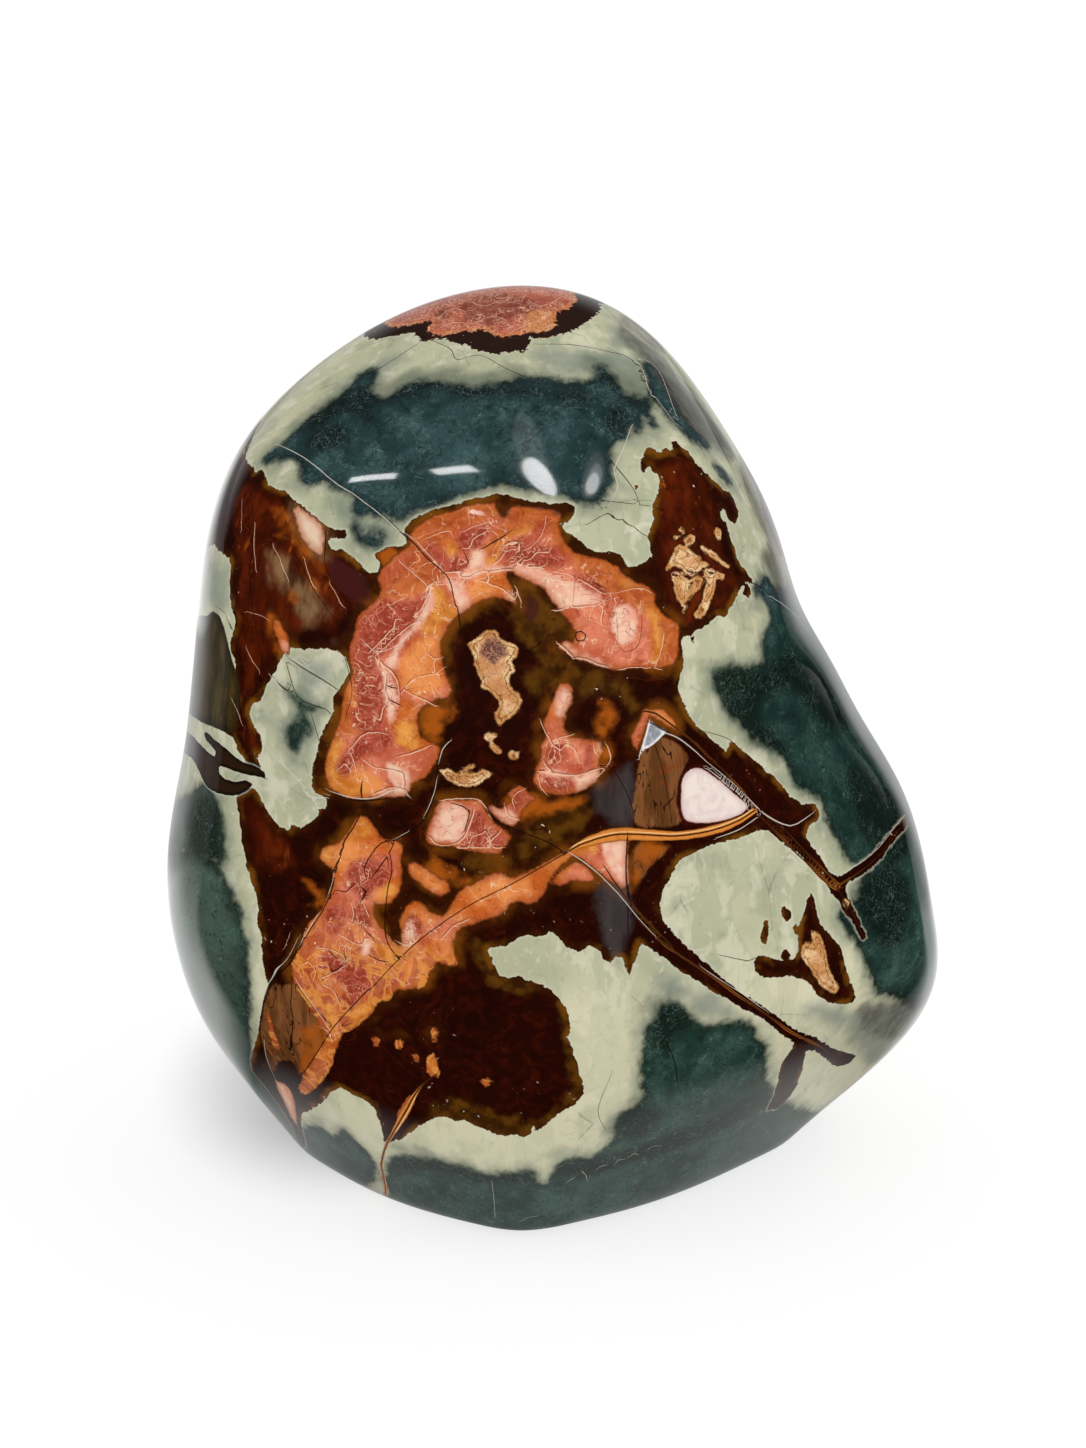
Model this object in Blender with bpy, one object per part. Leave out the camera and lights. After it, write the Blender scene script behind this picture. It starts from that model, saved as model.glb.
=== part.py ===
"""A free-standing lump of polychrome jasper, polished all over, with one flat ground under it to stand on.

The real thing is one piece of stone, so it is one solid. Its form is star-shaped about a point inside it: a plump
pebble whose frontal outline is traced, worked down by a few broad flats with rounded borders, as a lapidary
grinds it. The row frame has +Z up and the origin at the middle of the stone's footprint box, on the surface that
the stone stands on. The side that faces -Y is the one with the large red figure.
"""

import bpy
import numpy as np

STONE_HEIGHT = 0.150

# The stone's outer edge, traced by eye from straight ahead in picture units with y downwards. The stretch
# under FLOOR_LINE is the pebble's own roundness, which the foot cuts away.
HUB = (552, 780)
FLOOR_LINE = 1168
OUTLINE = [
    (520, 282), (556, 283), (589, 291), (618, 306), (645, 327), (669, 351), (690, 378), (711, 407), (736, 442),
    (754, 482), (771, 521), (785, 560), (800, 603), (819, 644), (842, 684), (867, 727), (890, 772), (911, 813),
    (926, 860), (935, 905), (940, 945), (942, 985), (938, 1028), (920, 1070), (878, 1104), (828, 1142),
    (772, 1188), (712, 1238), (630, 1276), (530, 1286), (430, 1272), (355, 1230), (300, 1178), (255, 1122),
    (214, 1074), (191, 1020), (177, 970), (170, 920), (167, 870), (171, 820), (180, 770), (190, 720), (196, 670),
    (200, 620), (208, 570), (216, 520), (229, 470), (255, 426), (293, 386), (336, 348), (385, 316), (440, 295),
    (483, 285),
]
OUTLINE_HARMONICS = 13

# How far the pebble reaches to the front and to the back of the hub, and how full its sections are.
FRONT_REACH = 345
BACK_REACH = 262
FULLNESS = 2.35

# Broad flats ground on the pebble: where each faces (x, y, z), how far from the hub it lies, and how softly
# its border rounds off. Low down, four of them draw the front in to a blunt corner that points at the viewer.
FLATS = {
    "foot": ((0.0, 0.0, -1.0), FLOOR_LINE - 780, 12),
    "front, to the left": ((-0.27, -0.955, 0.10), 294, 150),
    "front, to the right": ((0.54, -0.83, 0.10), 304, 150),
    "low on the left": ((-0.71, -0.53, -0.465), 396, 60),
    "low in front, to the left": ((-0.42, -0.80, -0.43), 388, 60),
    "low in front, to the right": ((0.42, -0.80, -0.43), 363, 60),
    "low on the right": ((0.64, -0.57, -0.515), 377, 50),
    "brow": ((-0.06, -0.72, 0.68), 388, 170),
    "left of the back": ((-0.50, 0.86, 0.05), 268, 150),
    "right of the back": ((0.50, 0.82, 0.22), 264, 150),
}

# An icosphere split this many times gives the solid its faces.
SPLITS = 5

JASPER_COLOUR = (0.16, 0.17, 0.14, 1.0)
JASPER_ROUGHNESS = 0.08


def frontal_radius(angle):
    """The traced outline's distance from the hub at each angle, as a smooth periodic sum of sines and cosines."""
    traced = np.array(OUTLINE, float) - HUB
    at = np.arctan2(-traced[:, 1], traced[:, 0])
    order = np.arange(1, OUTLINE_HARMONICS + 1)

    def waves(a):
        turns = np.multiply.outer(a, order)
        return np.concatenate([np.ones(turns.shape[:-1] + (1,)), np.cos(turns), np.sin(turns)], axis=-1)

    weights = np.linalg.lstsq(waves(at), np.hypot(traced[:, 0], traced[:, 1]), rcond=None)[0]
    return waves(angle) @ weights


def soft_least(a, b, width):
    """The lesser of a and b, rounded off where they are within width of each other."""
    nearness = np.maximum(width - np.abs(a - b), 0) / width
    return np.minimum(a, b) - nearness ** 3 * width / 6


def stone_radius(directions):
    """How far the surface lies from the hub along unit directions, in picture units."""
    x, y, z = directions.T
    across = np.hypot(x, z)
    reach = np.where(y < 0, FRONT_REACH, BACK_REACH)
    outline = frontal_radius(np.arctan2(z, x))
    radius = ((across / outline) ** FULLNESS + (np.abs(y) / reach) ** FULLNESS) ** (-1 / FULLNESS)
    for facing, distance, softness in FLATS.values():
        normal = np.array(facing) / np.linalg.norm(facing)
        lean = np.maximum(directions @ normal, 1e-3)
        radius = soft_least(radius, distance / lean, softness)
    return radius


def form_points(directions):
    """Surface points in metres: the foot on z = 0 and the height as STONE_HEIGHT says."""
    points = directions * stone_radius(directions)[:, None]
    low = points.min(axis=0)
    high = points.max(axis=0)
    middle = np.array([(low[0] + high[0]) / 2, (low[1] + high[1]) / 2, low[2]])
    return (points - middle) * STONE_HEIGHT / (high[2] - low[2])


def jasper_material():
    material = bpy.data.materials.new("polished_jasper")
    material.use_nodes = True
    shader = material.node_tree.nodes["Principled BSDF"]
    shader.inputs["Base Color"].default_value = JASPER_COLOUR
    shader.inputs["Roughness"].default_value = JASPER_ROUGHNESS
    shader.inputs["Metallic"].default_value = 0.0
    return material


def build_stone():
    bpy.ops.mesh.primitive_ico_sphere_add(subdivisions=SPLITS, radius=1.0)
    stone = bpy.context.object
    stone.name = "polished_stone"
    stone.data.name = "polished_stone"
    spots = np.empty(len(stone.data.vertices) * 3, np.float32)
    stone.data.vertices.foreach_get("co", spots)
    directions = spots.reshape(-1, 3).astype(float)
    directions /= np.linalg.norm(directions, axis=1)[:, None]
    stone.data.vertices.foreach_set("co", form_points(directions).astype(np.float32).ravel())
    stone.data.update()
    stone.data.shade_smooth()
    stone.data.materials.append(jasper_material())
    return stone


for leftover in list(bpy.data.objects):
    bpy.data.objects.remove(leftover)
build_stone()
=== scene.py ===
"""Polished polychrome jasper freeform: the finished look of the stone on a plain pale floor."""

import math

import bpy
import numpy as np
from mathutils import Matrix, Vector


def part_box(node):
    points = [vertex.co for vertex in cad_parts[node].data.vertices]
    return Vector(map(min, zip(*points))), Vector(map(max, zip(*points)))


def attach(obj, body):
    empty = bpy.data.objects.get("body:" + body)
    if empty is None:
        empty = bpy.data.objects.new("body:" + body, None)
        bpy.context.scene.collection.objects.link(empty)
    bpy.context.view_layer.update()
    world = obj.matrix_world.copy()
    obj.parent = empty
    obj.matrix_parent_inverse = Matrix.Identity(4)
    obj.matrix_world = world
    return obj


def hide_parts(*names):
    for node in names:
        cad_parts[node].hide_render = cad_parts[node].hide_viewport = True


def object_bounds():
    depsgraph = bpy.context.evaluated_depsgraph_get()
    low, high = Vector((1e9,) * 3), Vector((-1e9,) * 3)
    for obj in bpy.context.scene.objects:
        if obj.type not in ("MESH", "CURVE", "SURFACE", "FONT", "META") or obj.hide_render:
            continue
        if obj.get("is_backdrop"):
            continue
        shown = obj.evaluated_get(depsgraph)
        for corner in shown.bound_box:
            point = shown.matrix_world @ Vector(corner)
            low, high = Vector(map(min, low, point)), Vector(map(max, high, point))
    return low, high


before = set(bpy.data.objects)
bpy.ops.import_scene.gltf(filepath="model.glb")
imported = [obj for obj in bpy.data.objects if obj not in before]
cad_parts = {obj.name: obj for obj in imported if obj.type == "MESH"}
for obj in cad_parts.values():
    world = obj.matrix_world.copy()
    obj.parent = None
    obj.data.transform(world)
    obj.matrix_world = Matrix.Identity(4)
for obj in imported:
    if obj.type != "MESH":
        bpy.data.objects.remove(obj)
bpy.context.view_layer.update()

# The stone's form
# One lump of jasper, ground to a plump leaning pebble on a lap wheel and polished. A few broad flats with
# rounded borders are left from the grinding, and one true flat under it is what it stands on. Its measures
# are in the photograph's pixels, and its height in metres comes from the solid's.
HUB = (552, 780)
FLOOR_LINE = 1168
OUTLINE = [
    (520, 282), (556, 283), (589, 291), (618, 306), (645, 327), (669, 351), (690, 378), (711, 407),
    (736, 442), (754, 482), (771, 521), (785, 560), (800, 603), (819, 644), (842, 684), (867, 727),
    (890, 772), (911, 813), (926, 860), (935, 905), (940, 945), (942, 985), (938, 1028), (920, 1070),
    (878, 1104), (828, 1142), (772, 1188), (712, 1238), (630, 1276), (530, 1286), (430, 1272), (355, 1230),
    (300, 1178), (255, 1122), (214, 1074), (191, 1020), (177, 970), (170, 920), (167, 870), (171, 820),
    (180, 770), (190, 720), (196, 670), (200, 620), (208, 570), (216, 520), (229, 470), (255, 426),
    (293, 386), (336, 348), (385, 316), (440, 295), (483, 285),
]
OUTLINE_HARMONICS = 13
FRONT_REACH = 345
BACK_REACH = 262
FULLNESS = 2.35
FLATS = {
    "foot": ((0.0, 0.0, -1.0), FLOOR_LINE - HUB[1], 12),
    "front, to the left": ((-0.27, -0.955, 0.10), 294, 150),
    "front, to the right": ((0.54, -0.83, 0.10), 304, 150),
    "low on the left": ((-0.71, -0.53, -0.465), 396, 60),
    "low in front, to the left": ((-0.42, -0.80, -0.43), 388, 60),
    "low in front, to the right": ((0.42, -0.80, -0.43), 363, 60),
    "low on the right": ((0.64, -0.57, -0.515), 377, 50),
    "brow": ((-0.06, -0.72, 0.68), 388, 170),
    "left of the back": ((-0.50, 0.86, 0.05), 268, 150),
    "right of the back": ((0.50, 0.82, 0.22), 264, 150),
}
LEAST_LEAN = 1e-3
TABLE_STEPS = 2881
GRID = 128
CROWDING = 0.35
VIEW_ELEVATION = math.radians(20)
TOWARD_VIEWER = np.array([0.0, -math.cos(VIEW_ELEVATION), math.sin(VIEW_ELEVATION)])


def frontal_radius(angle):
    """The traced outline's distance from the hub at each angle: the least-squares sum of sines and cosines of
    1 to OUTLINE_HARMONICS times the angle, read from a fine table of one turn."""
    traced = np.array(OUTLINE, float) - HUB
    at = np.arctan2(-traced[:, 1], traced[:, 0])
    order = np.arange(1, OUTLINE_HARMONICS + 1)

    def waves(a):
        """One, then the cosines and the sines of each order times the angle."""
        turns = np.multiply.outer(a, order)
        return np.concatenate([np.ones(turns.shape[:-1] + (1,)), np.cos(turns), np.sin(turns)], axis=-1)

    weights = np.linalg.lstsq(waves(at), np.hypot(traced[:, 0], traced[:, 1]), rcond=None)[0]
    turn = np.linspace(-math.pi, math.pi, TABLE_STEPS)
    return np.interp(angle, turn, waves(turn) @ weights)


def soft_least(a, b, width):
    """The lesser of a and b, less (width - |a - b|) cubed over 6 width squared where they are within width of
    each other."""
    nearness = np.maximum(width - np.abs(a - b), 0) / width
    return np.minimum(a, b) - nearness ** 3 * width / 6


def stone_radius(directions):
    """Distance from the hub along unit directions, in pixels: a superellipsoid between the traced outline and
    the reach to front or back, then the soft least of that and each flat's plane."""
    x, y, z = np.moveaxis(directions, -1, 0)
    reach = np.where(y < 0, FRONT_REACH, BACK_REACH)
    outline = frontal_radius(np.arctan2(z, x))
    radius = ((np.hypot(x, z) / outline) ** FULLNESS + (np.abs(y) / reach) ** FULLNESS) ** (-1 / FULLNESS)
    for facing, distance, softness in FLATS.values():
        normal = np.array(facing) / np.linalg.norm(facing)
        lean = np.maximum(directions @ normal, LEAST_LEAN)
        radius = soft_least(radius, distance / lean, softness)
    return radius


def cube_sphere(n, crowding, toward):
    """Unit directions and quads of a cube blown up to a sphere: six n by n grids whose edges are shared,
    evenly spaced in angle by a tangent, then drawn together towards one side by adding crowding times it."""
    i, j = np.meshgrid(np.arange(n + 1), np.arange(n + 1), indexing="ij")
    sides = []
    for axis in range(3):
        for end in (0, n):
            grid = np.stack([np.full(i.shape, end), i, j], axis=-1)
            sides.append(np.roll(grid, axis, axis=-1))
    lattice = np.stack(sides).reshape(-1, 3)
    code = (lattice[:, 0] * (n + 1) + lattice[:, 1]) * (n + 1) + lattice[:, 2]
    kept, first, place = np.unique(code, return_index=True, return_inverse=True)
    place = place.reshape(6, n + 1, n + 1)
    quads = np.stack([place[:, :-1, :-1], place[:, 1:, :-1], place[:, 1:, 1:], place[:, :-1, 1:]], axis=-1)
    quads[::2] = quads[::2, :, :, ::-1]
    points = np.tan((lattice[first] / n * 2 - 1) * math.pi / 4)
    points /= np.linalg.norm(points, axis=1)[:, None]
    points = points + crowding * toward
    return points / np.linalg.norm(points, axis=1)[:, None], quads.reshape(-1, 4)


directions, quads = cube_sphere(GRID, CROWDING, TOWARD_VIEWER)
form = directions * stone_radius(directions)[:, None]
form_low, form_high = form.min(axis=0), form.max(axis=0)
stone_low, stone_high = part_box("polished_stone")
PICTURE_UNIT = (stone_high[2] - stone_low[2]) / (form_high[2] - form_low[2])
middle = np.array([(form_low[0] + form_high[0]) / 2, (form_low[1] + form_high[1]) / 2, form_low[2]])
hub_place = -middle * PICTURE_UNIT
vertices = (form - middle) * PICTURE_UNIT

mesh = bpy.data.meshes.new("jasper_stone")
mesh.vertices.add(len(vertices))
mesh.vertices.foreach_set("co", vertices.astype(np.float32).ravel())
mesh.loops.add(quads.size)
mesh.loops.foreach_set("vertex_index", quads.astype(np.int32).ravel())
mesh.polygons.add(len(quads))
mesh.polygons.foreach_set("loop_start", np.arange(0, quads.size, 4, dtype=np.int32))
mesh.update(calc_edges=True)
mesh.shade_smooth()
stone = bpy.data.objects.new("jasper_stone", mesh)
bpy.context.scene.collection.objects.link(stone)
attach(stone, "root")
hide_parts("polished_stone")

# The camera
# The photograph's view: a long lens a little above the stone, aimed at its hub, with the frame shifted so
# that the stone stands where it does in the picture.
LENS = 120.0
SENSOR = 36.0
FRAME_SIZE = (1086, 1448)
focal_pixels = LENS / SENSOR * FRAME_SIZE[1]
camera_data = bpy.data.cameras.new("camera")
camera_data.lens = LENS
camera_data.sensor_width = SENSOR
camera_data.shift_x = (FRAME_SIZE[0] / 2 - HUB[0]) / FRAME_SIZE[1]
camera_data.shift_y = (HUB[1] - FRAME_SIZE[1] / 2) / FRAME_SIZE[1]
camera = bpy.data.objects.new("camera", camera_data)
camera.location = Vector(hub_place + TOWARD_VIEWER * focal_pixels * PICTURE_UNIT)
camera.rotation_mode = "QUATERNION"
camera.rotation_quaternion = Vector(-TOWARD_VIEWER).to_track_quat("-Z", "Y")
bpy.context.scene.collection.objects.link(camera)
bpy.context.scene.camera = camera

# The markings' picture frame
# The colours run through the stone, so each figure is drawn as its outline on the polished surface. Outlines
# are traced, a row of x and y pixels of the photograph for each figure. Past the stone's edge the
# same picture is carried on round the side, and the back has a picture of its own.
ACROSS = np.array([1.0, 0.0, 0.0])
TURN_SAMPLES = 721
LEAN_SAMPLES = 361
EDGE_LEANS = (math.radians(45), math.radians(135))
FARTHEST_LEAN = math.radians(178)
SEARCH_STEPS = 357
FAR_AWAY = 1e6


class Picture:
    """The stone seen along one axis through the hub and unfolded: inside the visible edge a point's distance
    from the hub's pixel is its projected one, and past it that grows by the edge's own radius per radian."""

    def __init__(self, toward, across, distance):
        """Tables the visible edge: for each turn, the lean whose projected distance is greatest."""
        self.toward, self.across, self.distance = toward, across, distance
        self.up = np.cross(across, -toward)
        self.turns = np.linspace(-math.pi, math.pi, TURN_SAMPLES)
        lean = np.linspace(*EDGE_LEANS, LEAN_SAMPLES)
        seen = self.projected(self.turns[:, None], lean[None, :])
        edge = seen.argmax(axis=1)
        self.edge_lean = lean[edge]
        self.edge_radius = seen[np.arange(len(self.turns)), edge]

    def direction(self, turn, lean):
        """The unit direction at an angle round the axis and a lean away from it: cos(lean) of the axis plus
        sin(lean) of the way across at that angle."""
        flat = np.cos(turn)[..., None] * self.across + np.sin(turn)[..., None] * self.up
        return np.cos(lean)[..., None] * self.toward + np.sin(lean)[..., None] * flat

    def projected(self, turn, lean):
        """Projected distance of the surface from the hub's pixel: the viewer's distance times the radius
        times sin(lean), over the depth that is left."""
        turn, lean = np.broadcast_arrays(turn, lean)
        radius = stone_radius(self.direction(turn, lean))
        return self.distance * radius * np.sin(lean) / (self.distance - radius * np.cos(lean))

    def spread(self, turn, lean):
        """Distance from the hub's pixel in the unfolded picture."""
        edge_lean = np.interp(turn, self.turns, self.edge_lean)
        edge_radius = np.interp(turn, self.turns, self.edge_radius)
        inside = np.minimum(self.projected(turn, lean), edge_radius)
        return np.where(lean <= edge_lean, inside, edge_radius * (1 + lean - edge_lean))

    def pixels(self, directions):
        """Pixels of the unfolded picture for unit directions."""
        lean = np.arccos(np.clip(directions @ self.toward, -1, 1))
        turn = np.arctan2(directions @ self.up, directions @ self.across)
        spread = self.spread(turn, lean)
        return np.stack([HUB[0] + spread * np.cos(turn), HUB[1] - spread * np.sin(turn)], axis=1)

    def places(self, pixels):
        """Places on the surface, in pixels from the hub, for pixels of the unfolded picture: along each
        pixel's turn the lean is found where the spread first reaches the pixel's distance."""
        offset = pixels - HUB
        turn = np.arctan2(-offset[:, 1], offset[:, 0])
        wanted = np.hypot(offset[:, 0], offset[:, 1])[:, None]
        lean = np.linspace(0, FARTHEST_LEAN, SEARCH_STEPS)
        spread = np.maximum.accumulate(self.spread(turn[:, None], lean[None, :] + 0 * turn[:, None]), axis=1)
        after = np.clip((spread < wanted).sum(axis=1), 1, len(lean) - 1)
        row = np.arange(len(turn))
        low, high = spread[row, after - 1], spread[row, after]
        part = np.clip((wanted[:, 0] - low) / np.maximum(high - low, 1e-6), 0, 1)
        direction = self.direction(turn, lean[after - 1] + part * (lean[after] - lean[after - 1]))
        return direction * stone_radius(direction)[:, None]


front = Picture(TOWARD_VIEWER, ACROSS, focal_pixels)
back = Picture(np.array([0.0, 1.0, 0.0]), -ACROSS, FAR_AWAY)
drawn_pixels = {front: front.pixels(directions), back: back.pixels(directions)}
MM_PER_METRE = 1000
MILLIMETRES = PICTURE_UNIT * MM_PER_METRE
POINT_SPACING = 7
RUN = 16


def smooth_line(points, closed):
    """A smooth curve through the points, with a point about every POINT_SPACING pixels. Between b and c, with
    a before them and d after, it is b + t (c - a) / 2 + t squared (2 a - 5 b + 4 c - d) / 2 + t cubed
    (3 b - a - 3 c + d) / 2. A third number at a point, such as a vein's half width, is carried along."""
    points = np.array(points, float)
    if closed:
        before, after, later = np.roll(points, 1, 0), np.roll(points, -1, 0), np.roll(points, -2, 0)
    else:
        before = np.vstack([2 * points[0] - points[1], points[:-1]])[:-1]
        after, later = points[1:], np.vstack([points[2:], 2 * points[-1] - points[-2]])
        points_end, points = points[-1:], points[:-1]
    length = np.hypot(*(after - points)[:, :2].T)
    steps = np.maximum(1, np.round(length / POINT_SPACING)).astype(int)
    of = np.repeat(np.arange(len(points)), steps)
    t = ((np.arange(len(of)) - np.repeat(np.cumsum(steps) - steps, steps)) / steps[of])[:, None]
    a, b, c, d = before[of], points[of], after[of], later[of]
    curve = b + t * (c - a) / 2 + t ** 2 * (2 * a - 5 * b + 4 * c - d) / 2
    curve += t ** 3 * (3 * b - a - 3 * c + d) / 2
    return curve if closed else np.vstack([curve, points_end])


def nearest(line, values, reach):
    """For every vertex within reach of a line in space: its distance to it, the side it lies on (the sign of
    the line's run crossed with the way to the vertex, against the outward direction) and the value there. The
    line is taken in runs of RUN pieces, each tried only on the vertices near the ball that holds it."""
    found = np.full(len(form), reach, float)
    side = np.ones(len(form))
    value = np.zeros(len(form))
    for start in range(0, len(line) - 1, RUN):
        run = line[start:start + RUN + 1]
        held = values[start:start + RUN + 1]
        centre = (run.min(axis=0) + run.max(axis=0)) / 2
        ball = np.linalg.norm(run - centre, axis=1).max() + reach
        near = np.flatnonzero(((form - centre) ** 2).sum(axis=1) < ball ** 2)
        if not len(near):
            continue
        piece = run[1:] - run[:-1]
        way = form[near, None, :] - run[None, :-1, :]
        along = np.clip((way * piece).sum(axis=2) / np.maximum((piece ** 2).sum(axis=1), 1e-9), 0, 1)
        off = way - along[..., None] * piece
        distance = np.sqrt((off ** 2).sum(axis=2))
        best = distance.argmin(axis=1)
        row = np.arange(len(near))
        closer = distance[row, best] < found[near]
        best, row, near = best[closer], row[closer], near[closer]
        found[near] = distance[row, best]
        turned = (np.cross(piece[best], off[row, best]) * directions[near]).sum(axis=1)
        side[near] = np.where(turned < 0, -1, 1)
        part = along[row, best]
        value[near] = held[best] * (1 - part) + held[best + 1] * part
    return found, side, value


def inside(outline, pixels):
    """Which pixels lie in a closed outline, by counting the edges that a ray to the right crosses."""
    low, high = outline.min(axis=0), outline.max(axis=0)
    near = np.flatnonzero(((pixels > low) & (pixels < high)).all(axis=1))
    x, y = pixels[near].T
    crossings = np.zeros(len(near), int)
    for (x0, y0), (x1, y1) in zip(outline, np.roll(outline, -1, axis=0)):
        if y0 != y1:
            rows = (y0 <= y) != (y1 <= y)
            crossings += rows & (x < x0 + (y - y0) * (x1 - x0) / (y1 - y0))
    within = np.zeros(len(pixels), bool)
    within[near] = crossings % 2 == 1
    return within


def figure_field(outlines, picture=front, reach=60):
    """Signed distance in millimetres to the nearest of some closed outlines, positive inside any of them. An
    outline is a row of pixels, x and y by turns."""
    field = np.full(len(form), -float(reach))
    for outline in outlines:
        curve = smooth_line(np.reshape(outline, (-1, 2)), closed=True)
        line = picture.places(curve)
        distance = nearest(np.vstack([line, line[:1]]), np.zeros(len(line) + 1), reach)[0]
        field = np.maximum(field, np.where(inside(curve, drawn_pixels[picture]), distance, -distance))
    return field * MILLIMETRES


def vein_field(veins, picture=front, reach=14):
    """For the nearest of some open lines, in millimetres: the distance with a sign for its side, the plain
    distance, and the half width. A line is a row of pixels, x, y and half width by turns."""
    field = np.tile([reach, reach, 0.0], (len(form), 1))
    for vein in veins:
        curve = smooth_line(np.reshape(vein, (-1, 3)), closed=False)
        distance, side, width = nearest(picture.places(curve[:, :2]), curve[:, 2], reach)
        closer = distance < field[:, 1]
        field[closer] = np.stack([distance * side, distance, width], axis=1)[closer]
    return field * MILLIMETRES


def all_round(outlines, back_outlines, reach=60):
    """The greater of the signed distances to the front's outlines and to the back's."""
    return np.maximum(figure_field(outlines, front, reach), figure_field(back_outlines, back, reach))


def keep(name, columns):
    """Stores three numbers a vertex as a named attribute of the mesh."""
    attribute = mesh.attributes.new(name, "FLOAT_VECTOR", "POINT")
    attribute.data.foreach_set("vector", np.stack(columns, axis=1).astype(np.float32).ravel())


# The ground of the stone
# Sage-cream jasper with clouded fields of dark teal chalcedony. Where they meet, the edge is soft and smoky.
TEAL = [
    [285,440, 300,425, 320,409, 335,397, 350,384, 362,372, 376,367, 378,378, 371,390, 384,396, 400,388,
     415,382, 430,379, 450,383, 470,385, 490,384, 505,379, 520,376, 540,376, 560,379, 580,381, 596,378,
     594,366, 602,366, 611,372, 619,380, 622,388, 630,395, 640,396, 648,395, 651,402, 653,412, 657,427,
     650,428, 646,418, 643,430, 638,436, 632,428, 626,438, 617,442, 612,455, 613,470, 612,488, 600,502,
     585,505, 572,500, 556,496, 538,493, 520,488, 500,488, 480,492, 460,499, 440,506, 420,512, 405,520,
     397,523, 390,519, 375,517, 360,517, 351,510, 350,500, 344,492, 332,488, 324,484, 310,486, 300,480,
     298,465, 290,460, 278,461, 268,465, 262,463, 268,452],
    [350,525, 353,520, 358,522, 360,530, 364,534, 371,533, 376,538, 381,544, 378,549, 370,549, 362,544,
     354,538, 350,532],
    [364,529, 372,527, 380,529, 384,534, 386,539, 382,540, 378,534, 370,532],
    [640,362, 646,358, 653,363, 661,373, 669,387, 676,401, 684,415, 694,427, 706,440, 712,450, 702,448,
     690,441, 680,432, 670,421, 662,410, 655,402, 649,397, 646,386, 643,373],
    [712,462, 722,468, 730,478, 735,488, 728,485, 718,475],
    [752,590, 765,603, 770,618, 764,632, 758,645, 763,658, 752,667, 735,664, 720,669, 711,674, 712,684,
     720,697, 724,711, 735,722, 746,733, 760,745, 775,752, 785,764, 792,780, 803,792, 815,797, 822,806,
     825,822, 833,835, 840,850, 850,864, 862,872, 857,885, 855,897, 846,904, 838,912, 840,926, 850,936,
     858,948, 864,962, 869,978, 874,992, 886,996, 900,1001, 915,1012, 926,1002, 940,985, 980,980, 1040,930,
     1080,840, 1060,740, 1000,650, 930,590, 860,560, 806,572, 788,584, 776,588, 765,574],
    [656,1005, 668,1000, 680,1005, 690,1014, 700,1024, 712,1025, 726,1021, 742,1021, 752,1026, 757,1036,
     766,1046, 768,1060, 768,1078, 775,1092, 790,1104, 812,1112, 840,1120, 900,1180, 820,1250, 700,1300,
     520,1340, 400,1290, 386,1215, 388,1190, 384,1175, 388,1163, 397,1155, 412,1157, 430,1158, 447,1162,
     462,1166, 476,1171, 490,1173, 505,1173, 520,1170, 531,1171, 538,1182, 546,1183, 552,1174, 558,1164,
     570,1158, 586,1157, 600,1152, 608,1143, 615,1135, 615,1122, 622,1112, 634,1107, 641,1100, 640,1080,
     642,1058, 643,1040, 647,1026, 655,1018],
    [298,1130, 312,1125, 324,1129, 334,1136, 343,1130, 353,1137, 365,1148, 375,1162, 376,1178, 366,1188,
     350,1184, 334,1188, 316,1192, 296,1182, 280,1160],
    [120,850, 168,845, 190,850, 205,853, 216,860, 226,877, 235,895, 242,915, 246,935, 249,960, 250,1000,
     250,1035, 254,1060, 262,1080, 274,1098, 287,1116, 298,1134, 300,1150, 280,1180, 230,1190, 150,1150,
     90,1060, 70,940],
    [285,691, 294,694, 302,700, 309,705, 319,707, 314,711, 308,713, 311,723, 308,733, 302,743, 298,753,
     292,752, 287,744, 286,734, 290,726, 296,718, 298,709, 292,700],
    [176,800, 188,794, 200,784, 210,788, 219,800, 223,820, 227,842, 225,860, 212,862, 196,856, 178,850,
     160,848, 158,820],
]
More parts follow.
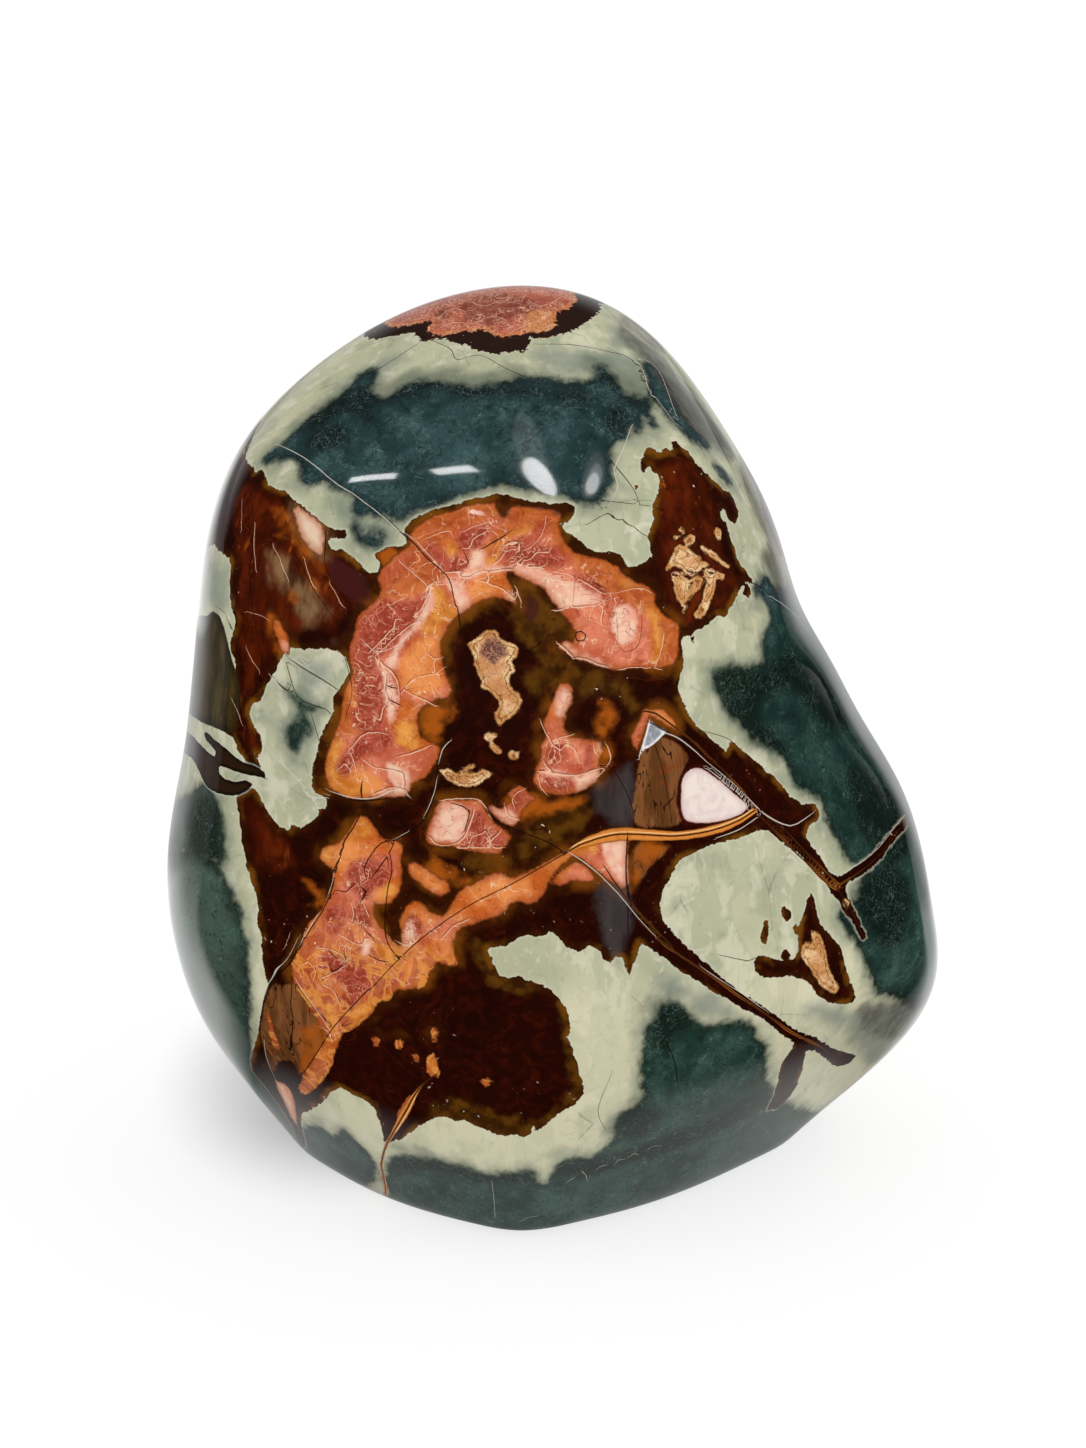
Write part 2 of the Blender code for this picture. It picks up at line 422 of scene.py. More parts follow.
SHADOWED_TEAL = [
    [300,440, 318,424, 340,420, 352,430, 344,444, 326,450, 308,456],
    [850,760, 880,780, 905,810, 912,850, 890,870, 868,850, 852,810],
    [188,798, 216,798, 224,842, 218,864, 196,860, 184,830],
    [664,380, 676,386, 691,402, 705,422, 721,442, 710,442, 694,430, 680,414, 668,398],
    [622,386, 632,391, 642,393, 651,400, 646,409, 634,409, 625,402],
    [764,551, 771,546, 778,560, 783,580, 779,593, 771,586, 766,568],
    [612,1124, 622,1109, 640,1101, 652,1108, 654,1124, 646,1135, 628,1140, 613,1136],
    [302,424, 322,404, 350,388, 384,382, 420,384, 432,396, 412,402, 392,396, 376,406, 384,420, 366,428,
     350,418, 334,422, 326,440, 312,446],
    [450,386, 500,384, 560,388, 600,398, 590,406, 540,400, 490,398, 456,398],
    [600,410, 618,404, 630,414, 624,430, 606,428],
    [392,396, 410,384, 430,377, 460,382, 495,381, 515,376, 508,387, 480,393, 455,390, 435,389, 415,396,
     400,402],
    [590,358, 604,368, 625,378, 646,392, 652,404, 642,408, 628,400, 614,388, 600,381],
    [380,398, 398,382, 430,374, 470,378, 500,374, 518,370, 512,382, 480,388, 452,386, 425,386, 405,394,
     392,404],
    [715,672, 735,666, 760,668, 790,650, 820,670, 850,720, 830,735, 800,700, 775,690, 765,720, 790,752,
     760,748, 735,722, 722,700],
    [655,1004, 676,1004, 692,1018, 690,1035, 676,1040, 668,1060, 655,1045, 652,1022],
    [388,1160, 420,1156, 460,1166, 500,1174, 530,1174, 520,1184, 480,1182, 430,1172, 396,1172],
    [612,1125, 628,1108, 650,1104, 664,1112, 655,1125, 635,1138, 618,1138],
    [860,880, 885,862, 905,872, 912,900, 905,935, 885,950, 868,935, 856,912],
    [560,1168, 590,1158, 640,1144, 700,1122, 760,1090, 778,1096, 740,1122, 680,1148, 620,1170, 575,1184],
]
GREY_CREAM = [
    [656,978, 672,974, 690,984, 712,992, 735,1005, 740,1018, 715,1020, 698,1018, 684,1004, 668,996, 655,996],
    [800,1002, 825,998, 850,1008, 865,1004, 860,1020, 840,1030, 815,1024, 800,1014],
    [840,1014, 870,1002, 905,1000, 935,990, 960,1010, 930,1050, 890,1080, 860,1060, 846,1040],
    [196,560, 215,556, 230,566, 230,595, 225,612, 205,605, 196,590],
    [274,688, 288,686, 302,694, 320,706, 312,716, 313,740, 305,757, 290,757, 276,738, 261,723, 261,711,
     276,716, 288,716, 290,704],
    [335,500, 350,504, 366,516, 384,522, 396,534, 392,546, 372,552, 352,542, 344,528, 338,514],
    [330,392, 350,374, 372,360, 400,352, 398,366, 376,380, 356,392, 336,404],
    [530,352, 556,346, 580,345, 596,351, 598,366, 580,374, 550,372, 532,364],
    [592,350, 606,350, 622,354, 634,360, 640,372, 645,388, 646,400, 636,398, 622,386, 606,374, 596,364],
    [300,658, 320,655, 334,668, 328,688, 308,694, 294,682],
    [606,326, 622,326, 640,337, 658,352, 676,370, 694,392, 710,414, 724,436, 735,455, 726,458, 712,444,
     698,432, 684,418, 670,396, 656,374, 642,358, 626,350, 612,343],
]
TEAL_BACK = [
    [100,640, 220,600, 330,560, 420,580, 470,650, 440,720, 380,760, 350,840, 370,920, 330,1000, 250,1040,
     150,1010, 60,940],
    [420,1010, 520,960, 640,980, 740,1040, 800,1120, 760,1200, 600,1280, 420,1290, 330,1180, 360,1080],
    [560,380, 650,360, 740,400, 790,470, 760,540, 690,560, 620,520, 580,460],
    [850,850, 900,830, 1000,840, 1040,950, 1000,1080, 900,1120, 860,1040, 830,940],
]
shadowed_and_grey = [figure_field(figures, reach=30) for figures in (SHADOWED_TEAL, GREY_CREAM)]
keep("ground", [all_round(TEAL, TEAL_BACK), *shadowed_and_grey])

# The brown fields
# Iron-stained jasper, near black where it is thick, with a golden or olive rim where it thins out over the
# cream. The largest field runs from the left shoulder round the great figure and down into the foot.
BROWN = [
    [404,534, 407,525, 415,518, 428,512, 442,507, 456,503, 470,499, 485,496, 498,494, 508,495, 520,499,
     535,502, 548,503, 560,503, 568,502, 576,507, 574,517, 568,522, 560,524, 566,531, 572,535, 580,540,
     587,547, 595,551, 606,551, 616,553, 623,558, 628,568, 636,566, 645,561, 653,555, 650,546, 648,538,
     648,531, 652,526, 653,520, 652,510, 655,500, 658,493, 659,480, 657,474, 652,474, 650,466, 646,467,
     644,473, 641,472, 640,465, 641,459, 645,457, 645,452, 647,448, 652,449, 655,453, 658,450, 660,453,
     664,451, 665,446, 668,450, 673,450, 672,441, 676,441, 680,445, 685,449, 691,455, 695,461, 697,465,
     699,463, 701,467, 703,472, 709,475, 712,480, 717,483, 721,487, 723,492, 728,491, 732,495, 735,502,
     738,511, 738,518, 735,523, 731,522, 728,518, 725,511, 722,508, 720,512, 721,519, 726,523, 728,528,
     729,535, 731,541, 734,547, 736,554, 740,564, 747,572, 753,580, 752,584, 746,582, 742,584, 740,590,
     736,597, 732,604, 728,611, 726,617, 721,615, 715,617, 711,622, 704,627, 697,630, 692,634, 694,641,
     691,640, 688,636, 683,638, 683,650, 684,662, 681,675, 678,686, 681,698, 687,711, 696,724, 706,734,
     717,744, 726,752, 729,746, 727,740, 733,741, 742,749, 752,758, 764,768, 775,778, 785,789, 794,799,
     802,805, 812,803, 819,809, 820,816, 815,823, 808,828, 806,836, 811,845, 818,855, 826,866, 836,877,
     850,869, 863,861, 876,849, 887,836, 896,826, 905,816, 908,824, 899,836, 889,848, 880,860, 868,871,
     855,879, 846,885, 848,898, 856,912, 861,925, 867,938, 863,941, 856,930, 849,917, 842,907, 836,898,
     828,888, 818,876, 808,865, 797,853, 785,845, 774,835, 763,829, 755,832, 740,837, 725,842, 712,845,
     700,850, 688,855, 680,861, 674,870, 668,881, 663,892, 660,904, 662,917, 669,928, 680,940, 692,951,
     704,961, 716,972, 729,983, 741,993, 753,1001, 765,1007, 776,1014, 786,1024, 798,1031, 810,1035,
     820,1040, 832,1048, 846,1052, 856,1056, 850,1063, 836,1066, 826,1059, 815,1051, 806,1050, 804,1062,
     800,1077, 795,1090, 786,1101, 776,1109, 767,1110, 773,1096, 778,1081, 781,1066, 788,1053, 794,1044,
     780,1033, 768,1023, 755,1014, 741,1008, 728,1000, 715,993, 703,985, 690,976, 676,968, 663,958, 652,950,
     642,944, 637,954, 633,966, 629,976, 625,968, 622,958, 615,956, 611,964, 605,960, 600,951, 591,947,
     579,951, 569,948, 561,941, 555,934, 549,932, 542,937, 533,935, 524,936, 514,941, 505,946, 496,947,
     487,950, 491,958, 494,967, 499,975, 508,978, 518,976, 530,981, 541,984, 551,990, 559,998, 566,1008,
     570,1019, 572,1027, 568,1037, 572,1045, 573,1055, 578,1063, 579,1073, 582,1082, 584,1093, 580,1100,
     571,1107, 562,1112, 553,1118, 546,1125, 539,1131, 533,1124, 528,1137, 517,1135, 505,1136, 494,1134,
     484,1129, 474,1125, 464,1120, 454,1121, 445,1117, 435,1118, 425,1122, 416,1128, 408,1135, 400,1140,
     390,1141, 386,1146, 384,1138, 381,1128, 377,1115, 372,1105, 364,1100, 355,1096, 346,1090, 339,1087,
     331,1092, 325,1100, 317,1106, 309,1111, 302,1114, 302,1128, 306,1146, 300,1150, 296,1136, 289,1122,
     283,1112, 274,1099, 265,1087, 257,1077, 251,1068, 252,1054, 257,1038, 260,1020, 263,1001, 268,986,
     267,977, 262,965, 262,950, 261,935, 258,920, 258,905, 256,893, 252,883, 250,873, 246,866, 246,857,
     244,848, 241,835, 240,822, 238,808, 237,796, 243,790, 255,789, 261,799, 267,810, 274,820, 282,828,
     290,832, 293,824, 300,828, 310,822, 318,816, 318,809, 326,808, 327,800, 320,796, 313,790, 312,776,
     314,762, 317,748, 322,734, 328,722, 333,711, 333,700, 338,690, 346,680, 349,668, 344,657, 335,650,
     320,648, 305,650, 292,648, 284,654, 279,662, 275,672, 270,681, 265,690, 261,699, 252,705, 248,713,
     252,721, 257,732, 263,741, 262,750, 257,753, 258,762, 262,770, 250,766, 242,757, 236,745, 232,737,
     222,731, 234,722, 237,705, 236,690, 235,675, 235,662, 231,652, 231,640, 236,620, 232,611, 230,598,
     230,580, 231,565, 228,556, 220,551, 214,545, 200,552, 180,556, 160,530, 150,490, 165,450, 200,430,
     232,440, 246,456, 248,464, 252,466, 256,472, 262,468, 265,476, 268,484, 275,488, 283,490, 290,496,
     297,502, 305,508, 312,515, 320,520, 330,527, 340,531, 348,530, 348,538, 338,539, 331,537, 327,543,
     335,549, 344,551, 354,557, 362,566, 369,573, 378,572, 380,562, 371,556, 379,552, 390,547, 402,546,
     408,542],
    [811,892, 815,900, 817,912, 820,924, 827,931, 837,942, 843,955, 846,968, 850,981, 855,992, 855,1000,
     848,1004, 838,1004, 826,1000, 816,993, 808,981, 799,979, 789,976, 776,978, 765,978, 756,971, 753,962,
     757,956, 766,956, 776,960, 786,961, 795,959, 798,950, 797,938, 799,926, 803,914, 807,901],
    [780,908, 785,906, 790,911, 792,918, 788,922, 782,918],
    [764,921, 768,921, 768,930, 768,939, 766,945, 761,944, 759,938, 763,930],
    [782,951, 787,948, 791,954, 788,961, 782,959],
    [791,925, 796,922, 801,928, 801,937, 795,934],
    [634,484, 637,483, 639,487, 636,491, 633,487],
    [745,584, 750,586, 752,594, 748,598, 743,594],
    [690,635, 694,637, 693,643, 690,640],
    [243,447, 248,437, 254,434, 250,444, 247,452],
    [362,333, 366,338, 378,339, 390,337, 403,334, 415,333, 420,341, 435,338, 450,341, 462,345, 475,349,
     487,353, 500,354, 513,350, 525,352, 530,346, 530,338, 545,338, 558,335, 570,331, 582,326, 592,319,
     600,311, 602,298, 622,262, 600,225, 545,205, 480,208, 430,228, 392,262, 368,296, 352,320],
]
OLIVE = [
    [428,1104, 446,1098, 462,1098, 480,1106, 500,1113, 522,1117, 534,1127, 528,1141, 514,1142, 492,1140,
     474,1132, 455,1126, 434,1122],
    [574,1086, 586,1088, 580,1102, 562,1114, 548,1126, 540,1120, 556,1108],
    [560,1000, 570,1010, 575,1040, 582,1070, 586,1094, 576,1100, 570,1075, 566,1050, 563,1030],
    [350,1090, 362,1096, 374,1104, 380,1118, 382,1136, 376,1120, 366,1106, 352,1098],
    [507,571, 515,580, 536,583, 547,597, 555,610, 573,627, 573,640, 555,647, 570,663, 562,672, 545,668,
     534,655, 522,640, 516,630, 506,622, 512,606, 505,590],
    [505,600, 488,596, 470,605, 455,618, 444,634, 440,648, 441,665, 445,682, 452,694, 456,690, 450,670,
     452,645, 466,624, 484,612, 502,612],
    [528,672, 548,668, 575,668, 600,672, 625,684, 640,700, 630,712, 612,700, 590,696, 575,690, 560,684,
     545,690, 535,700, 526,690],
    [418,716, 432,706, 450,702, 458,712, 445,726, 436,742, 424,736],
    [505,800, 530,795, 560,800, 585,798, 592,812, 580,828, 560,836, 535,832, 515,824, 508,812],
    [530,820, 548,826, 562,840, 548,850, 528,858, 505,868, 480,872, 462,866, 470,856, 500,854, 515,846],
    [476,940, 495,948, 490,960, 498,976, 520,980, 545,990, 530,994, 505,990, 488,982, 478,968, 472,952],
]
RUSSET = [
    [250,480, 272,492, 295,506, 318,522, 335,532, 325,545, 345,562, 362,580, 358,600, 345,620, 330,632,
     308,634, 290,640, 275,655, 262,676, 250,700, 252,722, 262,748, 250,752, 243,728, 242,700, 243,670,
     238,640, 236,600, 236,560, 232,520, 238,495],
    [655,470, 672,455, 690,462, 705,482, 716,505, 720,535, 728,560, 738,585, 722,608, 700,622, 682,625,
     668,605, 660,580, 655,550, 658,510],
    [240,800, 256,800, 270,825, 290,845, 300,870, 270,872, 252,862, 246,835],
]
BROWN_BACK = [
    [400,640, 440,560, 520,520, 590,540, 640,600, 720,610, 780,660, 790,740, 740,790, 760,860, 700,900,
     640,880, 600,930, 530,940, 480,880, 420,860, 400,790, 440,740, 410,700],
    [296,486, 320,452, 350,466, 382,440, 400,480, 380,520, 396,556, 360,570, 330,610, 306,570, 312,530],
    [820,420, 870,410, 920,450, 930,520, 900,570, 850,560, 820,500],
    [640,1010, 680,980, 730,1000, 770,1060, 740,1110, 690,1090, 650,1060],
]
OLIVE_BACK = [
    [560,690, 600,680, 630,710, 610,750, 570,760, 545,725],
    [440,870, 500,880, 540,930, 500,930, 450,890],
    [700,620, 760,650, 780,720, 740,700, 700,660],
]
RUSSET_BACK = [
    [300,490, 350,460, 390,470, 380,560, 320,590],
    [830,430, 900,440, 920,520, 860,550],
]
olive_all = all_round(OLIVE, OLIVE_BACK, 30)
russet_all = all_round(RUSSET, RUSSET_BACK, 30)
keep("brown", [all_round(BROWN, BROWN_BACK), olive_all, russet_all])

# The dark figures on the left edge
# Near-black chalcedony: a long oval that curls round the left side, and under it two looping strands.
OVAL = [
    [213,611, 219,615, 224,627, 228,643, 232,659, 237,675, 240,690, 240,707, 237,722, 232,733, 224,732,
     213,727, 203,723, 190,714, 172,700, 156,682, 150,660, 158,640, 172,628, 188,620, 200,615, 207,616],
]
STRANDS = [
    [160,742, 176,732, 187,731, 194,737, 200,744, 208,752, 216,758, 219,765, 219,773, 225,779, 235,782,
     246,780, 253,784, 247,791, 239,795, 225,795, 213,791, 205,784, 199,771, 192,758, 184,752, 170,758,
     150,760],
    [203,730, 208,733, 213,738, 219,743, 228,750, 235,757, 243,762, 255,766, 264,772, 268,780, 261,777,
     249,775, 237,772, 227,768, 217,764, 214,757, 216,752, 211,745, 206,740],
]
# The smoke's outlines: the first two are a painted reflection, a violet-grey glare on the ridge under its
# lamps; the sixth and seventh are a painted sheen along the left edge; the rest are the stone's own smoky
# bands.
SMOKE_AND_SHEEN = [
    [594,786, 606,778, 620,770, 632,764, 634,800, 632,826, 616,828, 602,818, 592,806],
    [596,884, 612,882, 630,890, 633,920, 628,940, 614,958, 600,930],
    [616,316, 640,321, 657,336, 664,349, 669,364, 682,384, 697,400, 711,418, 723,434, 733,450, 739,462,
     730,463, 716,452, 702,440, 688,426, 674,406, 662,388, 650,368, 636,353, 622,341],
    [738,463, 741,480, 747,496, 753,511, 760,526, 767,540, 763,550, 762,558, 769,570, 774,582, 770,587,
     777,597, 792,604, 808,600, 800,560, 786,520, 768,470, 752,440, 740,446],
    [484,640, 496,637, 504,645, 508,652, 501,658, 495,666, 488,661, 480,654],
    [196,480, 216,474, 222,500, 214,530, 208,560, 200,572, 194,540],
    [160,1000, 205,1010, 240,1076, 262,1104, 230,1120, 170,1060],
    [860,1004, 900,1000, 936,985, 950,1010, 920,1034, 880,1040, 858,1026],
]
keep("dark", [figure_field(OVAL, reach=30), figure_field(STRANDS, reach=20), figure_field(SMOKE_AND_SHEEN, reach=30)])

# The pink and orange figures
# Salmon and orange agate in the brown: the great crescent, the blocks inside it, the slanting mass that runs
# from the middle down to the left foot, and the eye at the crown. In it lie orange, golden, brick, red and
# pale zones, dusky and maroon patches, and pale lace.
PINK = [
    [275,1080, 284,1083, 291,1091, 295,1104, 297,1120, 298,1127, 291,1117, 284,1102, 278,1090],
    [293,504, 300,506, 307,512, 315,518, 323,525, 325,534, 325,546, 323,558, 317,556, 310,549, 303,541,
     298,532, 295,520],
    [273,617, 279,621, 286,633, 290,642, 289,655, 283,653, 278,643, 273,630],
    [268,1005, 271,1020, 275,1034, 280,1046, 279,1052, 274,1048, 270,1036, 267,1020],
    [408,537, 413,528, 421,522, 433,517, 446,512, 459,508, 472,504, 486,502, 495,502, 499,512, 505,516,
     509,506, 525,506, 540,508, 553,509, 562,513, 560,524, 563,535, 568,545, 576,552, 586,556, 598,558,
     609,561, 618,566, 626,576, 636,582, 648,585, 655,592, 656,604, 662,612, 671,619, 678,623, 680,635,
     679,650, 675,663, 665,668, 650,669, 635,669, 620,671, 605,668, 590,664, 576,659, 566,653, 556,646,
     564,640, 573,642, 576,634, 568,622, 560,612, 552,602, 545,592, 536,585, 525,580, 515,575, 508,571,
     508,578, 512,586, 516,596, 518,607, 511,603, 502,599, 490,598, 478,602, 470,608, 462,613, 453,621,
     448,630, 442,641, 441,650, 443,661, 446,671, 449,681, 453,691, 449,698, 440,700, 428,704, 420,713,
     418,723, 421,735, 430,742, 440,748, 438,758, 432,770, 427,778, 413,783, 410,792, 403,798, 395,797,
     385,797, 370,799, 357,800, 345,797, 333,791, 327,782, 325,770, 327,756, 331,742, 336,729, 341,716,
     342,703, 343,691, 349,680, 351,668, 348,655, 351,641, 355,630, 357,619, 363,610, 371,604, 378,598,
     380,589, 377,580, 381,570, 388,562, 396,555, 404,549, 410,545],
    [560,684, 570,683, 574,690, 572,703, 566,714, 564,726, 570,735, 582,738, 592,740, 600,740, 604,749,
     600,762, 601,776, 591,786, 578,793, 565,795, 550,795, 539,790, 533,779, 536,768, 540,758, 540,746,
     545,736, 543,725, 547,712, 552,700],
    [440,801, 452,799, 466,799, 480,799, 486,809, 494,822, 508,832, 512,838, 506,848, 498,854, 484,853,
     470,851, 458,849, 448,848, 436,846, 426,840, 428,826, 434,812],
    [488,806, 492,804, 500,808, 506,806, 510,800, 506,794, 511,788, 518,785, 526,787, 530,794, 536,798,
     528,804, 522,812, 521,822, 514,826, 502,822, 492,814],
    [360,815, 367,817, 375,825, 379,834, 388,840, 398,840, 404,847, 401,858, 403,870, 402,884, 398,895,
     392,903, 384,905, 375,904, 373,912, 378,923, 386,931, 392,941, 400,947, 402,938, 399,926, 402,914,
     406,905, 415,900, 425,905, 432,914, 442,915, 450,905, 456,895, 463,887, 475,883, 488,875, 500,872,
     510,877, 521,874, 533,869, 546,862, 557,854, 566,849, 578,844, 590,840, 606,837, 628,837, 629,850,
     629,868, 629,884, 622,890, 612,883, 600,875, 590,866, 580,860, 574,858, 564,864, 556,873, 549,883,
     545,893, 536,902, 527,905, 519,901, 511,905, 505,912, 495,918, 485,920, 475,924, 462,928, 455,940,
     455,954, 457,965, 448,967, 438,963, 432,969, 428,981, 419,988, 408,990, 398,990, 390,1000, 378,1003,
     374,1011, 367,1019, 358,1025, 350,1031, 343,1034, 339,1042, 335,1050, 333,1060, 330,1071, 322,1081,
     314,1090, 305,1095, 298,1092, 302,1078, 310,1065, 318,1051, 326,1039, 322,1029, 317,1019, 308,1005,
     298,991, 292,977, 291,966, 296,955, 300,944, 305,931, 312,920, 320,910, 326,900, 330,890, 333,879,
     332,869, 325,865, 320,857, 322,848, 329,845, 338,843, 345,835, 350,825, 355,818],
    [380,323, 387,317, 400,309, 415,301, 440,275, 480,252, 530,245, 566,262, 574,285, 575,300, 568,308,
     558,312, 555,318, 557,325, 550,330, 540,333, 528,332, 518,335, 505,337, 495,336, 483,330, 475,331,
     460,332, 445,335, 432,334, 425,331, 428,326, 432,320, 425,322, 410,325, 398,327, 388,326],
    [371,1037, 376,1035, 380,1039, 379,1046, 373,1046],
    [394,1040, 400,1038, 404,1042, 402,1050, 396,1048],
    [432,1028, 437,1026, 439,1034, 436,1044, 431,1040],
    [428,1056, 434,1054, 437,1062, 440,1072, 438,1078, 430,1076, 425,1066],
    [413,1054, 418,1056, 419,1062, 415,1061],
    [412,1094, 414,1102, 408,1112, 400,1120, 397,1116, 402,1104],
    [478,1081, 488,1078, 494,1083, 486,1087],
    [408,863, 417,861, 430,871, 440,878, 450,882, 451,891, 441,897, 429,891, 418,883, 409,875],
    [645,708, 652,709, 659,708, 669,713, 677,722, 676,731, 668,727, 657,720, 650,717, 648,724, 643,737,
     638,751, 633,747, 632,736, 636,723, 641,716],
    [575,861, 588,868, 597,879, 586,883, 571,882, 558,886, 550,884, 560,872],
]
ORANGE = [
    [404,650, 414,640, 430,636, 444,630, 440,650, 446,664, 446,680, 436,690, 420,698, 404,690, 396,684,
     398,668],
    [478,575, 500,571, 510,578, 517,594, 504,596, 490,596, 477,600, 470,590],
    [272,616, 280,620, 286,632, 284,642, 277,642, 272,630],
    [406,542, 422,522, 450,511, 480,503, 498,505, 497,518, 478,522, 456,530, 448,545, 450,562, 436,560,
     424,548],
    [508,512, 530,507, 555,512, 566,530, 572,552, 556,545, 548,526, 530,520, 512,522],
    [382,598, 398,580, 414,566, 430,568, 440,580, 424,590, 405,597],
    [398,700, 412,700, 420,715, 430,742, 418,748, 402,745, 394,722],
    [346,770, 362,768, 384,786, 366,799, 346,797],
    [336,690, 346,682, 360,690, 362,722, 350,734, 338,728],
    [540,690, 556,684, 560,700, 556,718, 540,722, 536,760, 532,745],
    [343,834, 358,818, 372,822, 398,842, 404,856, 386,852, 366,858, 350,866, 338,880, 330,890],
    [374,878, 392,876, 404,880, 398,904, 384,906, 374,898],
    [440,915, 470,884, 520,874, 560,852, 590,842, 575,862, 545,890, 510,905, 480,918, 456,920],
    [400,905, 418,898, 428,912, 440,916, 420,925, 408,940, 402,930],
    [380,962, 404,962, 420,950, 440,940, 456,945, 456,965, 430,968, 425,985, 400,990, 376,1004, 384,985],
    [330,1034, 336,1042, 334,1062, 322,1082, 300,1095, 302,1084, 318,1060],
    [296,952, 312,940, 322,955, 320,975, 300,975, 292,966],
    [385,318, 398,310, 410,314, 400,328, 386,328],
    [535,316, 556,312, 570,300, 576,306, 558,326, 540,332],
    [644,706, 660,704, 676,716, 678,732, 664,726, 652,716, 646,712],
    [404,860, 452,880, 452,898, 404,878],
]
PALE = [
    [296,508, 304,513, 314,521, 321,528, 322,540, 320,552, 310,544, 303,534, 299,522],
    [446,582, 458,580, 466,596, 472,610, 466,618, 460,614, 454,598],
    [520,574, 540,573, 560,578, 578,584, 592,594, 602,601, 580,607, 560,612, 554,606, 548,596, 538,584],
    [432,592, 433,604, 426,620, 414,632, 403,646, 398,660, 393,670, 386,666, 384,661, 392,652, 400,640,
     412,628, 421,614, 427,602],
    [382,668, 390,676, 396,688, 398,700, 395,714, 391,722, 387,716, 385,702, 383,688],
    [386,762, 398,764, 408,772, 410,784, 400,790, 390,780],
    [282,641, 289,643, 288,654, 284,652],
    [378,793, 396,786, 414,784, 414,793, 402,801, 390,800],
    [470,552, 482,550, 484,563, 476,571, 468,567],
    [460,570, 498,566, 520,566, 548,572, 540,577, 512,572, 490,572, 474,577, 458,578],
    [441,804, 452,801, 466,808, 469,816, 464,832, 456,844, 440,842, 430,836, 434,820],
    [556,692, 572,688, 574,702, 566,716, 558,722, 555,706],
    [541,771, 560,772, 584,774, 604,768, 604,782, 590,798, 578,794, 572,778, 548,776],
    [275,1081, 285,1080, 292,1090, 296,1105, 299,1122, 303,1138, 296,1130, 290,1116, 283,1101, 277,1090],
    [554,643, 568,642, 577,655, 572,661, 562,653],
    [576,657, 590,656, 604,662, 614,668, 600,671, 584,665],
    [602,838, 628,838, 630,886, 618,880, 606,862],
    [504,592, 514,592, 521,603, 514,607, 506,600],
    [490,806, 504,808, 520,820, 514,826, 498,818],
    [404,928, 410,920, 416,934, 410,948, 402,950, 398,944],
    [364,938, 372,942, 370,954, 362,956],
    [598,738, 608,740, 606,752, 598,750],
    [612,608, 628,604, 636,618, 634,638, 620,646, 612,630],
]
GOLD = [
    [430,588, 440,586, 448,592, 456,606, 460,618, 452,622, 446,626, 436,638, 424,634, 420,626, 428,612,
     433,600],
    [484,560, 482,548, 500,535, 515,520, 528,508, 540,514, 528,530, 510,540, 500,553, 490,568],
    [572,552, 590,556, 610,562, 622,574, 640,586, 652,592, 658,606, 676,622, 678,638, 672,656, 664,668,
     652,667, 650,640, 648,616, 628,600, 606,590, 590,578, 576,566],
    [328,748, 336,735, 344,742, 340,760, 348,775, 366,790, 360,800, 334,793, 325,775],
    [398,728, 408,722, 418,730, 420,742, 408,748, 398,742],
    [448,540, 456,538, 460,548, 454,556, 447,552],
    [322,850, 332,846, 338,856, 332,872, 324,864],
    [352,826, 362,818, 374,826, 366,840, 352,846],
    [386,884, 398,884, 396,898, 384,896],
    [556,858, 574,846, 592,842, 600,848, 580,858, 566,866],
    [424,1060, 436,1056, 440,1072, 430,1078],
    [524,322, 530,312, 545,309, 556,314, 558,326, 545,332, 532,333, 524,330],
    [322,1006, 330,1004, 336,1018, 328,1024],
    [372,940, 386,946, 400,958, 392,966, 376,956],
    [350,1012, 368,1002, 382,1006, 372,1020, 352,1034],
    [596,744, 606,744, 610,758, 604,772, 598,762],
]
RED = [
    [266,1002, 272,1020, 277,1034, 282,1048, 278,1054, 272,1048, 268,1036, 265,1020],
    [392,322, 406,308, 430,300, 452,296, 470,300, 462,312, 440,318, 420,318, 404,326],
    [460,322, 480,312, 500,310, 520,300, 540,298, 552,304, 540,316, 516,322, 500,332, 480,328],
    [456,545, 462,532, 478,524, 492,521, 490,534, 480,548, 466,552],
    [500,556, 506,544, 520,538, 540,543, 556,550, 566,562, 548,569, 524,566, 508,561],
    [346,640, 353,622, 364,607, 380,598, 396,601, 412,602, 427,594, 424,606, 414,622, 400,640, 386,655,
     378,662, 385,674, 391,686, 387,700, 385,716, 380,731, 366,736, 356,728, 354,712, 354,690, 348,672,
     343,656],
    [336,768, 345,752, 360,738, 380,732, 392,740, 384,750, 366,753, 354,763, 345,780],
    [442,566, 456,556, 470,556, 472,566, 458,574],
    [572,572, 590,580, 606,590, 613,598, 600,598, 588,592, 576,582],
    [430,540, 444,552, 450,568, 438,562, 428,552],
    [546,746, 560,742, 564,756, 556,768, 546,766, 542,756],
    [543,776, 560,774, 572,779, 576,790, 566,795, 548,796, 541,788],
    [584,742, 592,740, 594,760, 592,772, 586,766, 584,752],
    [472,836, 482,826, 498,832, 510,838, 506,848, 480,849, 466,848],
    [474,812, 484,812, 486,824, 476,838, 470,830],
    [508,796, 516,788, 526,788, 530,796, 522,806, 510,808],
    [352,862, 366,858, 384,868, 388,880, 376,890, 366,904, 356,896, 346,880],
    [322,914, 336,904, 346,914, 340,930, 328,932],
    [354,906, 368,904, 372,924, 360,930, 350,920],
    [318,956, 334,950, 350,958, 366,966, 376,982, 362,998, 348,1012, 340,1004, 344,988, 330,974, 318,970],
    [298,982, 308,988, 322,1006, 328,1024, 320,1022, 306,1002],
    [390,968, 402,972, 396,988, 384,992],
    [404,918, 416,914, 422,930, 412,940, 404,932],
    [648,712, 658,718, 672,730, 662,728, 652,718, 646,735, 640,750, 636,745, 642,726],
]
DUSK = [
    [484,640, 496,637, 504,645, 508,652, 501,658, 495,666, 488,661, 480,654],
    [497,500, 512,500, 511,510, 509,519, 499,521, 497,510],
    [512,500, 530,502, 552,504, 568,508, 566,516, 548,511, 528,507, 512,506],
    [512,605, 520,602, 526,610, 522,622, 514,618],
]
